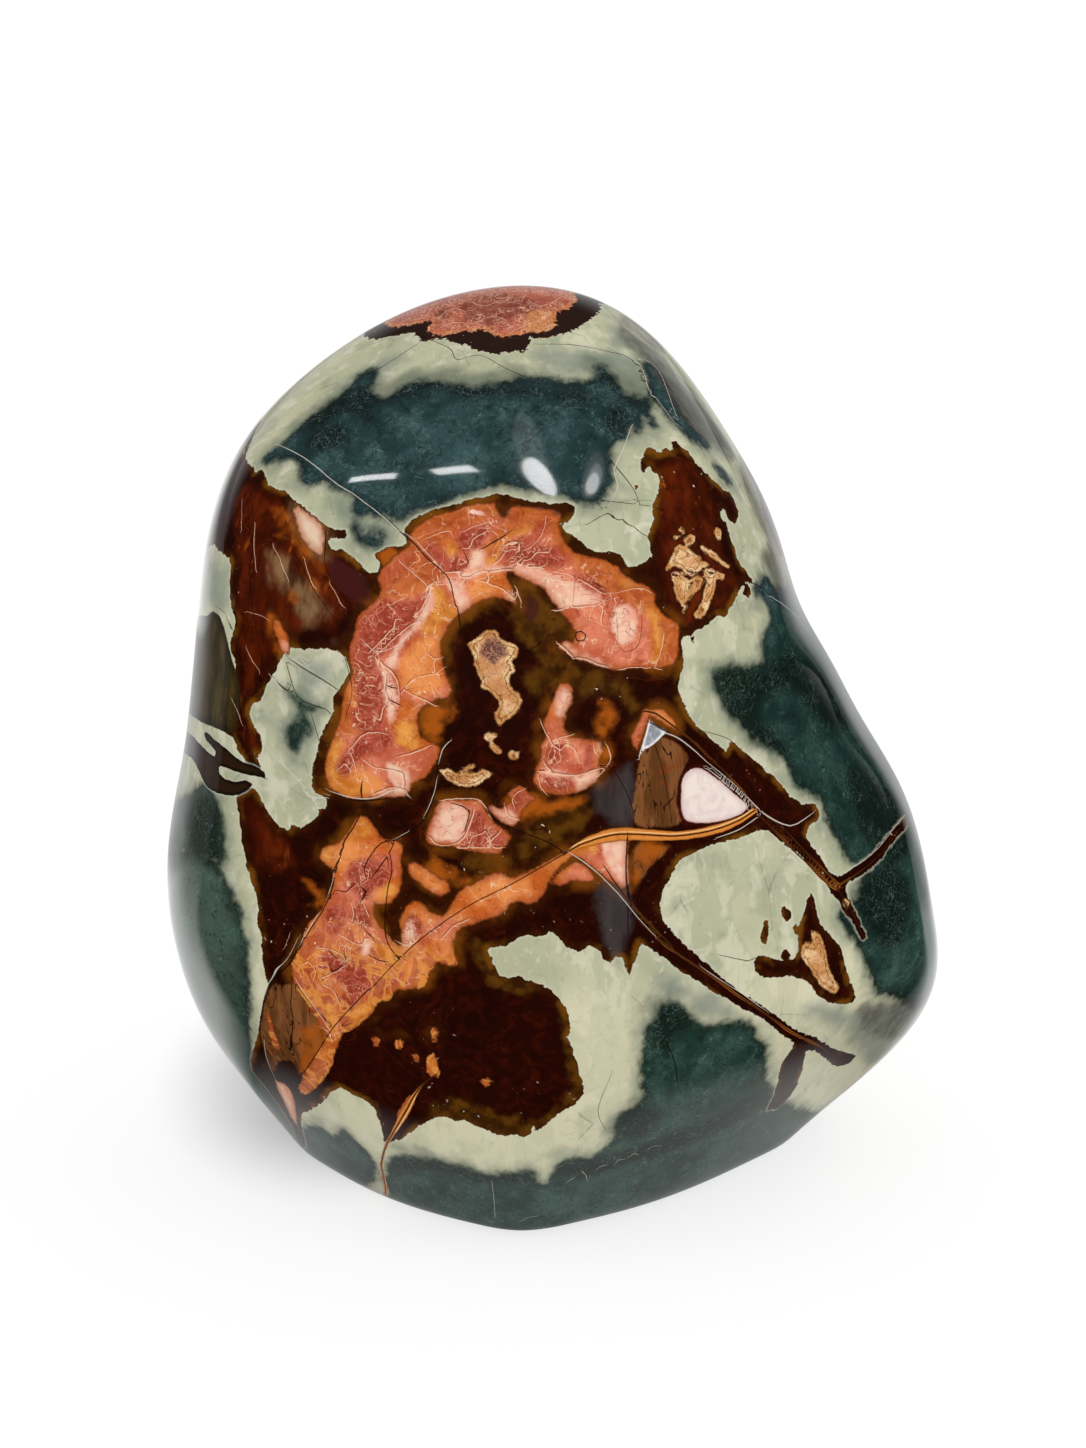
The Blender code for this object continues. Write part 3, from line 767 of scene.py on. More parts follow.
BRICK = [
    [402,545, 412,528, 430,518, 452,512, 474,506, 497,506, 497,520, 486,522, 470,528, 452,534, 440,545,
     450,562, 440,580, 424,582, 410,590, 396,598, 380,598, 374,594, 388,580, 402,564, 410,554],
    [505,512, 530,510, 556,513, 570,520, 566,540, 574,558, 560,553, 548,530, 530,524, 512,534, 500,545,
     490,556, 482,556, 486,544, 500,530],
    [570,558, 590,555, 606,560, 618,574, 624,588, 640,586, 654,592, 650,606, 632,604, 614,600, 596,588,
     580,576],
    [334,690, 344,684, 353,700, 351,724, 340,738, 330,732, 334,712],
    [662,616, 678,620, 680,640, 668,668, 656,668, 664,644],
    [534,744, 542,722, 546,700, 540,690, 534,706, 530,730],
    [384,324, 410,306, 440,296, 470,290, 500,288, 540,292, 560,300, 540,306, 500,300, 460,304, 430,310,
     404,322],
]
CROWN = BROWN[-1:]
MAROON = [
    [324,560, 334,556, 346,563, 358,570, 368,586, 373,602, 366,607, 350,601, 338,591, 330,578],
    [462,304, 480,296, 500,293, 520,297, 538,302, 534,312, 515,316, 500,322, 482,326, 466,318, 458,310],
    [434,312, 446,308, 452,316, 444,324, 434,322],
    [521,599, 530,595, 539,602, 537,614, 531,623, 524,615],
]
LACE = [
    [413,617,.9, 421,610,1.1, 426,600,1.1, 430,590,1.1, 438,585,1, 446,584,.7],
    [424,592,.5, 428,586,.8, 436,581,.8],
    [370,652,.9, 380,642,1, 388,633,1.1, 394,628,1.1, 395,619,1, 401,620,.7],
    [377,655,.9, 388,645,1, 396,637,1.1, 404,630,1, 416,622,.9],
    [378,660,1, 384,666,1.1, 392,672,1.4, 398,684,1.1, 399,698,.8],
    [386,678,.9, 384,690,1.1, 388,700,1, 382,710,1.1, 380,722,1, 374,716,.7],
    [348,752,.8, 354,745,.9, 360,737,1, 368,733,1, 378,732,.9, 386,734,.6],
    [351,754,.8, 354,762,.9, 356,770,.6],
    [338,770,.6, 346,762,.8, 350,770,.6],
    [364,760,.7, 374,768,1, 384,770,1.2, 394,771,1.1, 402,774,1.5, 404,784,1.3],
    [398,757,.9, 410,754,1, 420,750,1, 430,746,.6],
    [373,795,.7, 384,790,1.1, 394,788,1.1, 404,790,1.1, 408,794,.7],
    [403,692,.6, 412,680,.8, 424,676,.8, 434,674,.8, 444,668,.5],
    [434,660,.7, 434,668,.8, 440,678,.6],
    [424,646,.5, 426,654,.7, 434,659,.8, 441,658,.5],
    [404,690,.8, 414,696,1, 424,700,1.2, 436,706,.6],
    [446,573,1, 454,572,1.3, 462,572,1.1, 457,577,1.1, 470,578,1, 476,574,.8],
    [478,573,.9, 483,572,1.2, 487,572,1, 489,579,.9],
    [490,572,.9, 500,570,1.1, 512,570,.9],
    [512,561,.9, 520,564,1.3, 528,567,1.3, 538,568,1.1, 546,565,.7],
    [505,546,.9, 510,543,1.7, 518,542,1.3, 520,547,.7],
    [495,563,.8, 500,560,1, 504,554,.8],
    [518,556,.8, 524,560,1, 530,561,1, 536,553,.9, 542,552,.8, 548,553,.9, 551,549,.5],
    [464,549,.8, 470,548,1, 472,540,.9, 480,535,.9, 488,531,.6],
    [428,538,.5, 442,532,.7, 450,531,.8, 452,535,.5],
    [462,532,.5, 474,527,.8, 484,524,.8, 491,522,.5],
    [506,552,.5, 512,549,.6, 522,551,.7, 530,548,.7, 536,542,.6, 544,530,.6, 546,518,.5],
    [476,581,.7, 484,582,.9, 492,585,.8, 504,590,.9, 510,596,1, 516,600,.9],
    [516,588,.8, 519,596,1, 521,604,1],
    [556,572,.5, 568,575,.8, 580,580,1, 588,584,1.1, 596,589,.9, 606,595,.5],
    [555,611,1, 568,609,1.1, 584,607,1, 594,606,.8, 606,601,.8],
    [611,594,1.1, 616,603,.8],
    [573,578,.5, 573,590,.7, 572,600,.7, 570,608,.6],
    [603,604,.7, 602,614,.9, 601,623,.6],
    [614,606,.5, 616,625,.9, 616,640,.8, 611,654,.6],
    [577,658,1, 586,660,1.3, 596,664,1.2, 606,667,1],
    [620,670,.7, 630,668,1, 646,668,.9, 660,669,.8],
    [612,594,.3, 628,590,.5, 642,588,.8, 650,592,.6],
    [664,636,.6, 662,648,.7, 656,664,.6],
    [558,644,1.3, 565,650,1.7, 572,656,1.3],
    [541,722,.8, 545,732,.9, 551,741,1.1, 562,738,1, 572,735,.9],
    [548,735,.6, 552,745,1, 560,750,.8],
    [560,750,.6, 566,744,.8, 574,748,.8, 578,756,.7],
    [541,772,1.3, 552,773,1.5, 564,775,1.4, 578,776,1.1, 592,771,1.1, 602,768,.8],
    [538,776,.6, 540,786,.8, 546,794,.7],
    [543,762,.8, 547,768,1.2, 551,770,.8],
    [606,744,.7, 611,756,.9, 606,768,.9, 598,776,.8],
    [442,800,.8, 455,799,1, 468,799,1, 480,800,1.1, 486,808,1.2, 490,816,1.1],
    [458,848,.9, 470,848,1.1, 484,848,1.2, 502,848,1],
    [468,848,.7, 472,838,1, 482,834,1, 490,828,.9],
    [486,832,.7, 490,840,1, 486,847,.8],
    [490,846,.7, 494,838,1.1, 500,832,1],
    [430,838,.9, 438,845,1, 452,846,1, 464,838,1.2, 470,824,1.3, 474,810,1],
    [514,808,.6, 512,800,.8, 518,792,.9, 524,790,.6],
    [505,806,.6, 508,816,.9, 518,820,.8],
    [398,942,.8, 410,946,.9, 420,936,.7],
    [410,944,.7, 412,932,.9, 410,922,.6],
    [443,938,.8, 450,930,1.1, 458,924,1.1, 468,920,.8],
    [340,935,.6, 352,942,.8, 362,946,.9, 366,938,.8, 374,942,.7],
    [318,948,.7, 330,950,.9, 344,956,.8, 352,962,.5],
    [322,978,.6, 336,972,.8, 346,964,.6],
    [324,985,.6, 334,992,.8, 340,1004,.6],
    [352,905,.6, 354,914,.9, 352,922,.6],
    [364,905,.9, 368,915,.8],
    [300,966,.5, 308,962,.7, 316,972,.7, 312,982,.5],
    [321,1027,.3, 330,1033,.7, 338,1033,.6, 346,1030,.4],
    [707,573,.6, 709,569,.8, 713,569,.8, 716,573,.8, 713,577,.8, 709,577,.8, 707,573,.6],
    [687,572,.6, 689,568,.8, 693,568,.8, 696,572,.8, 693,576,.8, 689,576,.8, 687,572,.6],
    [671,575,.6, 673,572,.7, 677,572,.7, 680,575,.7, 677,578,.7, 673,578,.7, 671,575,.6],
    [326,1028,.7, 332,1040,.8],
    [406,320,.5, 420,314,.7, 436,318,.6, 452,308,.7, 466,312,.5],
    [440,328,.5, 456,322,.7, 474,324,.6, 490,316,.7, 506,320,.5],
    [470,302,.5, 486,306,.7, 500,300,.6, 520,304,.5],
    [510,332,.5, 524,326,.7, 540,320,.6, 550,312,.5],
    [528,300,.5, 540,306,.7, 552,302,.6, 562,296,.4],
    [255,524,.5, 254,548,.7, 256,570,.5],
    [242,500,.4, 241,530,.5],
    [304,558,.5, 308,574,.8, 314,587,.8],
    [330,584,.4, 337,596,.7, 343,607,.5],
    [280,560,.5, 288,580,.6],
    [273,546,.6, 280,559,.5],
    [246,612,.4, 262,616,.5, 268,620,.4],
    [232,700,.4, 238,712,.6, 242,724,.4],
    [246,648,.5, 252,660,.6, 260,672,.4],
    [290,934,.4, 284,948,.4],
]
PINK_BACK = [
    [470,650, 500,600, 560,580, 610,620, 650,660, 720,670, 740,720, 690,750, 640,760, 650,820, 600,860,
     540,870, 510,820, 470,790, 500,740, 460,700],
    [660,1020, 700,1000, 736,1050, 716,1086, 676,1066],
]
ORANGE_BACK = [
    [470,650, 500,600, 560,580, 600,612, 560,622, 520,640, 500,690, 480,700, 460,700],
    [650,660, 720,670, 740,720, 690,750, 650,740, 640,700],
    [600,860, 540,870, 510,820, 560,810, 610,800, 640,820],
]
PALE_BACK = [
    [520,640, 560,630, 600,650, 590,672, 540,670, 516,690],
    [520,770, 570,780, 620,770, 610,800, 550,806, 516,796],
]
RED_BACK = [
    [490,720, 516,690, 540,680, 536,720, 520,760, 490,780, 476,760],
    [620,640, 660,670, 700,680, 690,720, 650,700],
]
eye = figure_field(OLIVE_BACK[:1], back)
pink_all = np.maximum(figure_field(PINK), np.minimum(figure_field(PINK_BACK, back), -eye))
keep("pink", [pink_all, all_round(ORANGE, ORANGE_BACK, 30), all_round(PALE, PALE_BACK, 30)])
keep("agate", [figure_field(GOLD, reach=30), all_round(RED, RED_BACK, 30), figure_field(DUSK, reach=30)])
keep("brick", [figure_field(figures, reach=30) for figures in (BRICK, CROWN, MAROON)])
keep("lace", vein_field(LACE, reach=10).T * ((1,), (1,), (0.75,)))

# The tan, quartz and steel-grey inclusions
# Small pale bodies that the iron stopped at: tan lumps with a dark outline, one clear window of white quartz,
# and a splinter of grey chalcedony.
TAN = [
    [467,644, 477,638, 484,631, 493,629, 498,633, 501,639, 509,643, 517,645, 519,650, 516,658, 511,662,
     515,667, 514,672, 509,678, 510,684, 514,690, 520,695, 523,702, 520,708, 514,715, 506,721, 500,726,
     496,724, 495,713, 499,705, 497,699, 493,695, 486,690, 481,688, 481,681, 477,672, 473,664, 474,656,
     471,650],
    [484,734, 490,732, 497,733, 497,737, 492,740, 498,747, 503,754, 496,754, 490,748, 489,742, 484,738],
    [507,753, 513,750, 520,752, 517,760, 510,759],
    [440,771, 448,768, 455,772, 468,773, 477,772, 483,769, 494,774, 486,779, 477,786, 466,787, 454,784,
     445,778],
    [458,770, 466,766, 474,763, 476,767, 468,771],
    [678,528, 681,527, 685,531, 686,534, 682,534, 679,531],
    [671,538, 675,535, 679,537, 678,540, 674,540],
    [684,541, 686,537, 690,534, 694,535, 696,538, 694,542, 690,547, 686,547],
    [697,540, 703,546, 710,550, 714,551, 718,556, 723,561, 730,566, 728,568, 721,565, 714,560, 708,555,
     701,549],
    [681,543, 683,547, 687,548, 692,551, 698,556, 700,559, 702,557, 701,561, 707,562, 710,565, 704,568,
     698,571, 694,574, 690,575, 686,574, 681,569, 677,566, 673,567, 669,571, 665,571, 667,565, 671,560,
     670,556, 672,555, 675,547, 679,544],
    [673,573, 679,572, 683,575, 687,579, 690,582, 689,588, 688,595, 686,603, 685,609, 681,606, 677,599,
     674,591, 673,583, 671,579],
    [694,577, 699,575, 703,579, 702,586, 698,591, 694,594, 690,602, 686,609, 683,614, 682,612, 685,606,
     689,598, 691,591, 693,584, 691,579],
    [704,569, 710,567, 715,571, 720,572, 725,575, 724,580, 720,581, 716,578, 716,586, 714,594, 710,603,
     706,613, 702,619, 696,619, 694,615, 696,610, 699,606, 702,598, 704,590, 706,582, 704,575],
    [716,527, 720,528, 722,534, 721,540, 717,540, 714,534],
    [811,930, 816,930, 822,938, 826,950, 828,964, 832,976, 840,988, 836,994, 828,991, 819,984, 812,972,
     805,962, 800,955, 802,946, 808,941, 814,946, 812,938],
    [843,898, 850,902, 848,910, 842,904],
]
QUARTZ = [
    [690,769, 701,768, 712,775, 723,783, 735,794, 746,803, 748,808, 740,815, 726,820, 711,823, 696,823,
     685,820, 681,808, 681,792, 682,779],
]
STEEL = [
    [650,721, 659,727, 668,731, 661,737, 654,744, 643,751, 638,757, 643,743, 646,732],
]
keep("bits", [figure_field(figures, reach=20) for figures in (TAN, QUARTZ, STEEL)])

# The hazes in the brown
# Thinner places in the iron stain that let light through: milky sheens, striped smoky wedges, and golden
# windows.
MILKY = [
    [290,500, 306,506, 322,518, 332,532, 328,562, 312,562, 298,545, 290,525],
    [266,550, 274,546, 284,552, 292,560, 300,570, 312,580, 322,596, 331,612, 326,620, 312,618, 300,606,
     290,596, 278,590, 270,575],
    [294,600, 304,596, 318,606, 322,616, 314,630, 304,628, 296,615],
    [262,560, 270,566, 276,582, 272,588, 264,578],
    [330,640, 338,640, 346,650, 340,650],
]
WEDGE = [
    [640,752, 648,744, 662,736, 676,742, 690,756, 684,770, 679,786, 678,804, 682,820, 672,828, 655,828,
     638,827, 630,812, 634,790, 637,770],
    [274,982, 282,984, 290,983, 294,980, 302,992, 311,1004, 321,1015, 330,1026, 331,1034, 325,1046, 318,1057,
     310,1070, 303,1081, 298,1074, 293,1062, 284,1061, 278,1063, 276,1073, 270,1070, 266,1058, 262,1046,
     260,1034, 261,1020, 264,1005, 268,992],
    [634,846, 650,845, 668,846, 664,856, 652,866, 642,880, 634,880],
]
GLOW = [
    [297,1036, 310,1026, 322,1024, 332,1034, 322,1052, 308,1076, 302,1074, 300,1056],
    [505,796, 530,794, 548,800, 585,797, 580,806, 556,812, 530,822, 512,818],
    [418,716, 432,706, 450,702, 458,712, 445,726, 436,742, 424,736],
    [600,700, 618,706, 612,730, 604,742, 596,730],
    [600,742, 616,748, 606,770, 598,764],
    [430,858, 452,868, 470,880, 458,888, 440,880, 424,868],
    [640,636, 660,640, 672,656, 652,672, 634,664],
    [304,880, 313,884, 320,890, 325,900, 318,908, 312,905, 319,900, 314,893],
    [634,846, 668,846, 650,862, 636,882],
    [274,507, 282,509, 288,517, 294,523, 294,532, 287,529, 281,522, 276,515],
    [278,522, 286,527, 294,534, 291,539, 283,537, 276,534, 279,528],
    [292,535, 299,540, 306,547, 314,556, 322,560, 324,570, 316,569, 307,558, 299,550, 293,543],
    [301,556, 308,565, 314,578, 319,592, 314,590, 307,577, 301,565],
    [268,612, 274,616, 273,632, 279,646, 283,656, 276,648, 270,632],
    [290,590, 296,592, 295,603, 289,600],
    [374,555, 384,549, 396,547, 402,556, 394,566, 382,566],
    [312,794, 324,800, 318,812, 300,822, 294,826, 300,812],
]
keep("haze", [figure_field(figures, reach=30) for figures in (MILKY, WEDGE, GLOW)])

# The veins and cracks
# Healed cracks: bands of orange and pale agate with a dark seam down the middle, and hair-thin dark and
# white lines over everything. Each point's third number is the half width in pixels.
VEINS = [
    [566,853,1, 580,845,4, 596,839,6, 612,835,7, 628,834,7, 650,835,6, 675,836,5, 700,833,5, 720,828,5,
     740,820,4, 755,810,3],
    [755,808,.9, 745,794,1.2, 735,783,1.2, 722,769,.8, 708,756,1, 695,743,1, 680,731,1.1, 668,722,.9,
     655,713,1.2, 645,711,.8],
    [758,814,.6, 772,828,.8, 785,841,1.2, 797,854,.8, 808,864,1.1, 818,875,1.4, 828,884,1.6, 838,890,1.2],
    [772,820,.4, 788,833,.6, 800,846,.8, 812,858,.8, 824,870,1, 838,884,1.2],
    [838,886,1.4, 846,881,1.2, 858,873,.8, 870,864,.5, 884,850,.4, 902,826,.3],
    [840,892,.3, 852,912,.3, 862,936,.3],
    [640,922,.6, 652,933,.9, 666,946,1.2, 684,958,1, 702,970,1, 720,982,1.3, 737,995,1.3, 753,1005,1,
     770,1017,1, 785,1028,1.3, 800,1037,1.3, 816,1044,1.2, 832,1055,.6],
    [437,1074,.7, 424,1083,.9, 414,1096,2.4, 407,1109,4.5, 400,1121,4, 393,1133,2, 387,1144,1.8,
     383,1155,1.6, 381,1165,1.6, 384,1178,2, 386,1192,2.2, 384,1206,2],
    [604,866,.5, 622,892,.9, 640,914,1, 656,930,.9, 672,946,.6],
]
CRACKS = [
    [710,573,1.7, 713,573,1.7],
    [690,572,1.6, 693,572,1.6],
    [674,575,1.3, 677,575,1.3],
    [448,745,.5, 440,757,.9, 437,770,1, 436,786,1.1, 431,806,1, 422,822,1, 410,832,.9, 396,839,.8],
    [345,843,.5, 336,872,.7, 331,893,.8, 322,912,.8, 310,930,.8, 300,948,.8],
    [376,509,.4, 396,527,.7, 405,536,1, 416,545,1, 426,557,1, 440,569,.9, 449,579,.9, 454,596,.8, 459,614,.7,
     461,630,.5],
    [302,940,.8, 291,962,1, 276,976,1.2, 269,985,1.2, 263,1005,1.2, 260,1030,1.2, 262,1050,1.2, 268,1070,1.3,
     276,1090,1.3, 286,1110,1.2, 296,1130,1.2, 303,1144,1],
    [296,1100,.7, 297,1116,.8, 302,1134,.7],
    [292,984,.8, 291,1004,.8, 293,1024,.7, 292,1042,.7, 296,1062,.8, 302,1080,.9],
    [285,1040,.8, 291,1054,.7],
    [627,838,.9, 626,870,1.1, 628,900,1, 628,934,.7],
    [516,1092,.6, 522,1106,1, 526,1124,.9],
    [650,722,1.4, 660,728,1.8, 668,732,1],
    [370,990,.6, 400,958,.8, 430,932,.8, 470,905,.8, 510,885,.8, 540,868,.8, 566,853,.8],
    [300,1078,.8, 315,1056,.8, 330,1032,.8, 345,1014,.9, 370,988,.9],
    [292,978,.7, 304,995,.6, 318,1012,.6, 334,1026,.7, 350,1024,.5],
    [362,800,.8, 368,812,.6, 375,825,.8, 384,838,.6],
    [360,815,.8, 353,828,1.1, 345,840,1.2, 340,854,1.2, 336,866,1.1, 331,876,.9, 332,900,.6],
    [396,840,.9, 381,843,.9, 371,855,.9, 364,868,.9, 366,878,.6],
    [394,843,.8, 388,855,.9, 379,868,.9, 372,877,.6],
    [390,855,.8, 392,870,.8, 388,888,.8, 386,905,.8, 385,930,.9, 388,944,.9, 395,954,.8, 404,960,.7],
    [336,890,.5, 346,892,.9, 352,886,.8, 358,882,.5],
    [360,886,.6, 366,892,1.6, 362,900,1.2],
    [365,930,.6, 371,936,1, 376,942,.5],
    [370,956,.5, 378,960,1, 386,962,.8],
    [330,952,.8, 336,958,.6],
    [344,952,.8, 345,958,.6],
    [330,964,.6, 332,972,.8, 342,966,.5],
    [482,549,.6, 492,543,1, 504,536,.9, 512,530,.5],
    [464,552,.5, 468,562,.9, 466,566,.6],
    [594,582,.5, 600,586,.9, 606,588,.4],
    [616,640,.2, 624,652,.3, 634,650,.4, 640,640,.4, 642,622,.3, 640,606,.2],
    [576,632,.7, 581,631,.9, 586,635,.9, 584,641,.9, 577,641,.9, 575,636,.6],
    [452,803,.6, 462,806,1, 470,811,1, 468,820,.8, 464,832,.6],
    [390,700,.6, 396,703,1.1, 400,705,.6],
    [388,686,.8, 393,688,1],
    [362,783,.8, 361,790,1.6, 362,800,.8],
    [350,799,.6, 362,801,1.2, 376,800,1, 390,798,.5],
    [485,808,1, 495,820,.8, 510,827,.8, 530,835,.8, 550,843,.9, 564,853,1],
    [628,834,.8, 627,860,.8, 628,885,.7, 633,915,.7],
    [586,525,.4, 610,514,.5, 640,530,.3],
    [600,500,.4, 625,503,.5, 650,506,.4],
    [753,583,1, 765,590,.9, 775,601,.7, 788,612,.6],
    [757,957,.7, 748,961,.7, 738,959,.6, 719,955,.4],
    [420,336,.5, 436,342,.5, 452,350,.6, 456,360,.5, 480,355,.4, 505,368,.5, 528,378,.4],
    [420,342,.5, 402,354,.5, 380,368,.5, 360,378,.4],
    [535,344,.4, 575,345,.5, 610,352,.5, 632,360,.6, 648,392,.4],
    [612,1072,.3, 598,1110,.4, 606,1130,.3],
    [285,658,.5, 290,676,.6, 298,697,.6, 316,706,.7, 326,709,.6, 334,718,.5],
    [288,657,.5, 304,669,.8, 320,678,.9, 338,690,.6],
    [274,679,.7, 282,687,1.5, 289,692,.8],
    [311,714,.4, 315,726,.5, 319,740,.4],
    [216,606,.3, 226,614,.5, 228,622,.4],
    [228,620,.8, 231,627,1.4],
    [624,356,.5, 636,362,.8, 644,372,.7, 650,388,.5],
    [660,376,.5, 676,396,.8, 690,416,.6],
    [612,462,.6, 622,474,.8, 634,490,.6, 640,504,.4],
    [600,506,.4, 612,517,.7, 628,524,.6, 646,536,.5],
    [740,470,.4, 750,496,.7, 762,520,.6, 776,560,.4],
    [665,1040,.8, 674,1060,.9, 678,1085,.6],
    [838,892,1.6, 846,905,1.8, 854,920,1.8, 861,936,1.4],
    [290,1000,.7, 293,1022,.6, 290,1046,.7, 296,1064,.6],
    [452,592,.6, 457,612,.8, 462,634,.7, 464,660,.6, 470,690,.5, 476,700,.3],
    [300,560,.4, 312,586,.5, 325,606,.4, 345,632,.3],
    [326,530,.8, 325,550,.7, 324,560,.5, 334,585,.4, 350,604,.4],
    [250,490,.6, 254,530,.5, 250,580,.7, 256,630,.5, 262,660,.6],
    [600,766,.8, 612,768,.5, 630,800,.7, 634,826,.6],
    [655,745,.6, 664,775,.6, 672,824,.5],
    [345,658,.5, 352,690,.5, 345,720,.4],
    [700,730,.4, 730,740,.5, 745,760,.4],
]
HAIRS = [
    [276,444,.4, 290,450,.8, 303,457,.7, 318,468,.8, 328,477,.7, 340,486,.8, 352,493,.8, 364,502,.7,
     376,511,.7, 386,519,.6, 398,530,.5],
    [402,531,.4, 416,541,.5, 428,554,.6, 442,569,.5],
    [450,741,.5, 443,749,.8, 439,762,.4],
    [437,778,.3, 435,790,.6, 430,804,.6, 424,816,.3],
    [408,832,.3, 402,835,.5, 395,839,.3],
    [327,790,.3, 345,796,.9, 362,799,1, 378,797,1, 388,792,1, 400,790,.9, 409,797,.6],
    [762,812,1, 774,820,1.3, 790,826,1.1, 803,820,.8, 814,812,.5],
    [842,875,.3, 852,868,.5, 866,859,.5, 880,846,.5, 891,832,.5, 902,818,.4],
    [570,853,.8, 588,865,.9, 605,880,.8, 622,898,.7, 640,920,.6, 655,936,.4],
    [666,733,.8, 678,738,1.2, 694,750,.9, 708,763,.6, 722,774,.7, 735,785,.5, 748,798,.6, 758,808,1],
    [639,757,1, 645,738,1.1, 649,722,.9],
    [706,768,.6, 717,776,.9, 728,786,1, 738,793,1, 746,803,.9, 748,809,.6],
    [716,838,.5, 728,834,.8, 742,828,.9, 756,818,.8],
    [300,944,.5, 308,930,.6, 318,914,.4],
    [328,894,.3, 332,884,.5, 334,874,.3],
    [632,425,.5, 622,452,.6, 614,470,.8, 618,486,.6, 612,500,.4],
    [600,306,.4, 612,318,.6, 625,328,.8, 638,337,.8, 652,347,.7, 664,357,.5, 674,366,.3],
    [676,372,.4, 686,380,.7, 696,390,.6, 703,398,.4],
    [692,388,.3, 700,400,.7, 707,415,.5],
    [738,470,.4, 744,484,.5, 752,500,.6, 757,512,.5],
    [646,384,.3, 656,398,.5, 666,411,.5, 676,424,.4, 684,430,.2],
    [698,442,.3, 706,452,.6, 712,462,.5, 720,474,.4],
    [770,596,.5, 790,610,.6, 812,634,.4],
    [400,562,.5, 430,590,.5, 424,610,.4, 404,640,.6, 378,652,.6, 362,640,.4],
    [290,658,.5, 302,665,.8, 312,671,.5],
    [298,654,.4, 308,660,.7],
    [322,684,.5, 334,688,.7, 334,694,.5],
    [262,742,.5, 280,762,.6, 300,782,.7, 318,807,1.2],
    [270,676,.5, 276,681,1.4, 279,686,.8],
    [303,790,.6, 310,797,1.6, 326,798,1],
    [632,357,.4, 640,365,.7, 645,376,.7, 648,388,.7, 652,397,.4],
    [638,358,.4, 650,362,.6, 659,371,.6, 665,384,.6, 670,398,.6, 675,412,.5, 679,420,.2],
    [590,339,.4, 604,343,.6, 616,350,.8, 626,355,.6, 633,359,.4],
    [567,1183,.3, 571,1179,.5, 577,1177,.3],
    [582,1171,.3, 586,1175,.5, 587,1181,.3],
    [596,1170,.3, 601,1166,.5, 606,1165,.3],
    [614,1165,.3, 618,1160,.5, 624,1159,.3],
    [629,1157,.3, 634,1153,.5, 638,1155,.3],
    [647,1150,.3, 653,1146,.4, 660,1146,.3],
    [492,1182,.3, 494,1200,.4, 495,1216,.3],
    [520,1222,.3, 528,1217,.4, 538,1216,.3],
    [758,832,.4, 772,880,.3, 780,930,.3],
    [298,938,.3, 288,958,.4, 280,966,.7, 276,970,1.8, 273,977,1, 266,988,.4, 260,1010,.4, 258,1030,.2],
    [264,1040,.5, 266,1056,.8, 272,1072,.6, 281,1090,.7, 291,1110,.7, 300,1130,.5],
    [296,980,.4, 306,996,.6, 318,1012,.6, 328,1028,.5],
    [700,966,.3, 716,977,.6, 730,986,.4, 746,996,.7, 758,1005,.6, 768,1012,.3],
]
VEINS_BACK = [
    [740,790,3, 800,800,4, 860,780,3, 920,790,2, 980,812,1],
    [480,880,3, 430,950,4, 380,1040,3, 360,1120,2],
    [760,860,2, 830,930,3, 900,960,2, 960,1010,1],
    [440,560,2, 420,490,2, 440,400,1],
]
front_veins, back_veins = vein_field(VEINS), vein_field(VEINS_BACK, back)
keep("vein", np.where(front_veins[:, 1:2] < back_veins[:, 1:2], front_veins, back_veins).T)
keep("crack", vein_field(CRACKS, reach=8).T)
keep("hair", vein_field(HAIRS, reach=8).T * ((1,), (1,), (0.85,)))

# The polished jasper
# The stone's own colours, worked out from the outlines above with noise to roughen their edges and mottle
# their insides, under one even polish. Some light and shade is painted in as well: the shadowed outlines, a
# dark line beside the pale lace, tiny glints, a sheen on the ridge and the left edge, and lighter cream low
# down and lighter teal at the far left.
STUDIO_STRENGTH = 1.2
SHARD_SIZE = 8
CRACKLE_SIZE = 11
POLISH_ROUGHNESS = 0.05
POLISH_INDEX = 1.5
POLISH_GLOSS = 0.45
material = bpy.data.materials.new("polychrome_jasper")
material.use_nodes = True
nodes = material.node_tree.nodes


def feed(socket, value):
    """Links an output to a socket, or sets the socket to a plain value."""
    if isinstance(value, bpy.types.NodeSocket):
        value.id_data.links.new(value, socket)
    else:
        socket.default_value = value


def calc(operation, *values):
    """One Math node: the named operation on the values."""
    node = nodes.new("ShaderNodeMath")
    node.operation = operation
    for socket, value in zip(node.inputs, values):
        feed(socket, value)
    return node.outputs[0]


def rise(value, start, end, low=0.0, high=1.0):
    """A smooth step: low where the value is under start, high over end, and between them low plus the rest
    times 3 t squared - 2 t cubed."""
    node = nodes.new("ShaderNodeMapRange")
    node.interpolation_type = "SMOOTHSTEP"
    sockets = ("Value", "From Min", "From Max", "To Min", "To Max")
    for name, number in zip(sockets, (value, start, end, low, high)):
        feed(node.inputs[name], number)
    return node.outputs["Result"]


def tint(red, green, blue):
    """A colour as the photograph shows it, 0 to 255, as the stone's own linear one: (c + 0.055) / 1.055 to
    the power 2.4, divided by the strength of the studio's light."""
    screen = np.array([red, green, blue]) / 255
    linear = np.where(screen > 0.04045, ((screen + 0.055) / 1.055) ** 2.4, screen / 12.92) / STUDIO_STRENGTH
    return (*(float(c) for c in linear), 1.0)


def blend(part, under, over, kind="MIX"):
    """The colour under, with part of the colour over mixed in: (1 - part) under + part over."""
    node = nodes.new("ShaderNodeMix")
    node.data_type = "RGBA"
    node.blend_type = kind
    feed(node.inputs[0], part)
    feed(node.inputs[6], under if isinstance(under, bpy.types.NodeSocket) else tint(*under))
    feed(node.inputs[7], over if isinstance(over, bpy.types.NodeSocket) else tint(*over))
    return node.outputs[2]


def layered(colour, *layers):
    """The colour with each layer blended over what is there: a layer is its part and its own colour."""
    for part, over in layers:
        colour = blend(part, colour, over)
    return colour


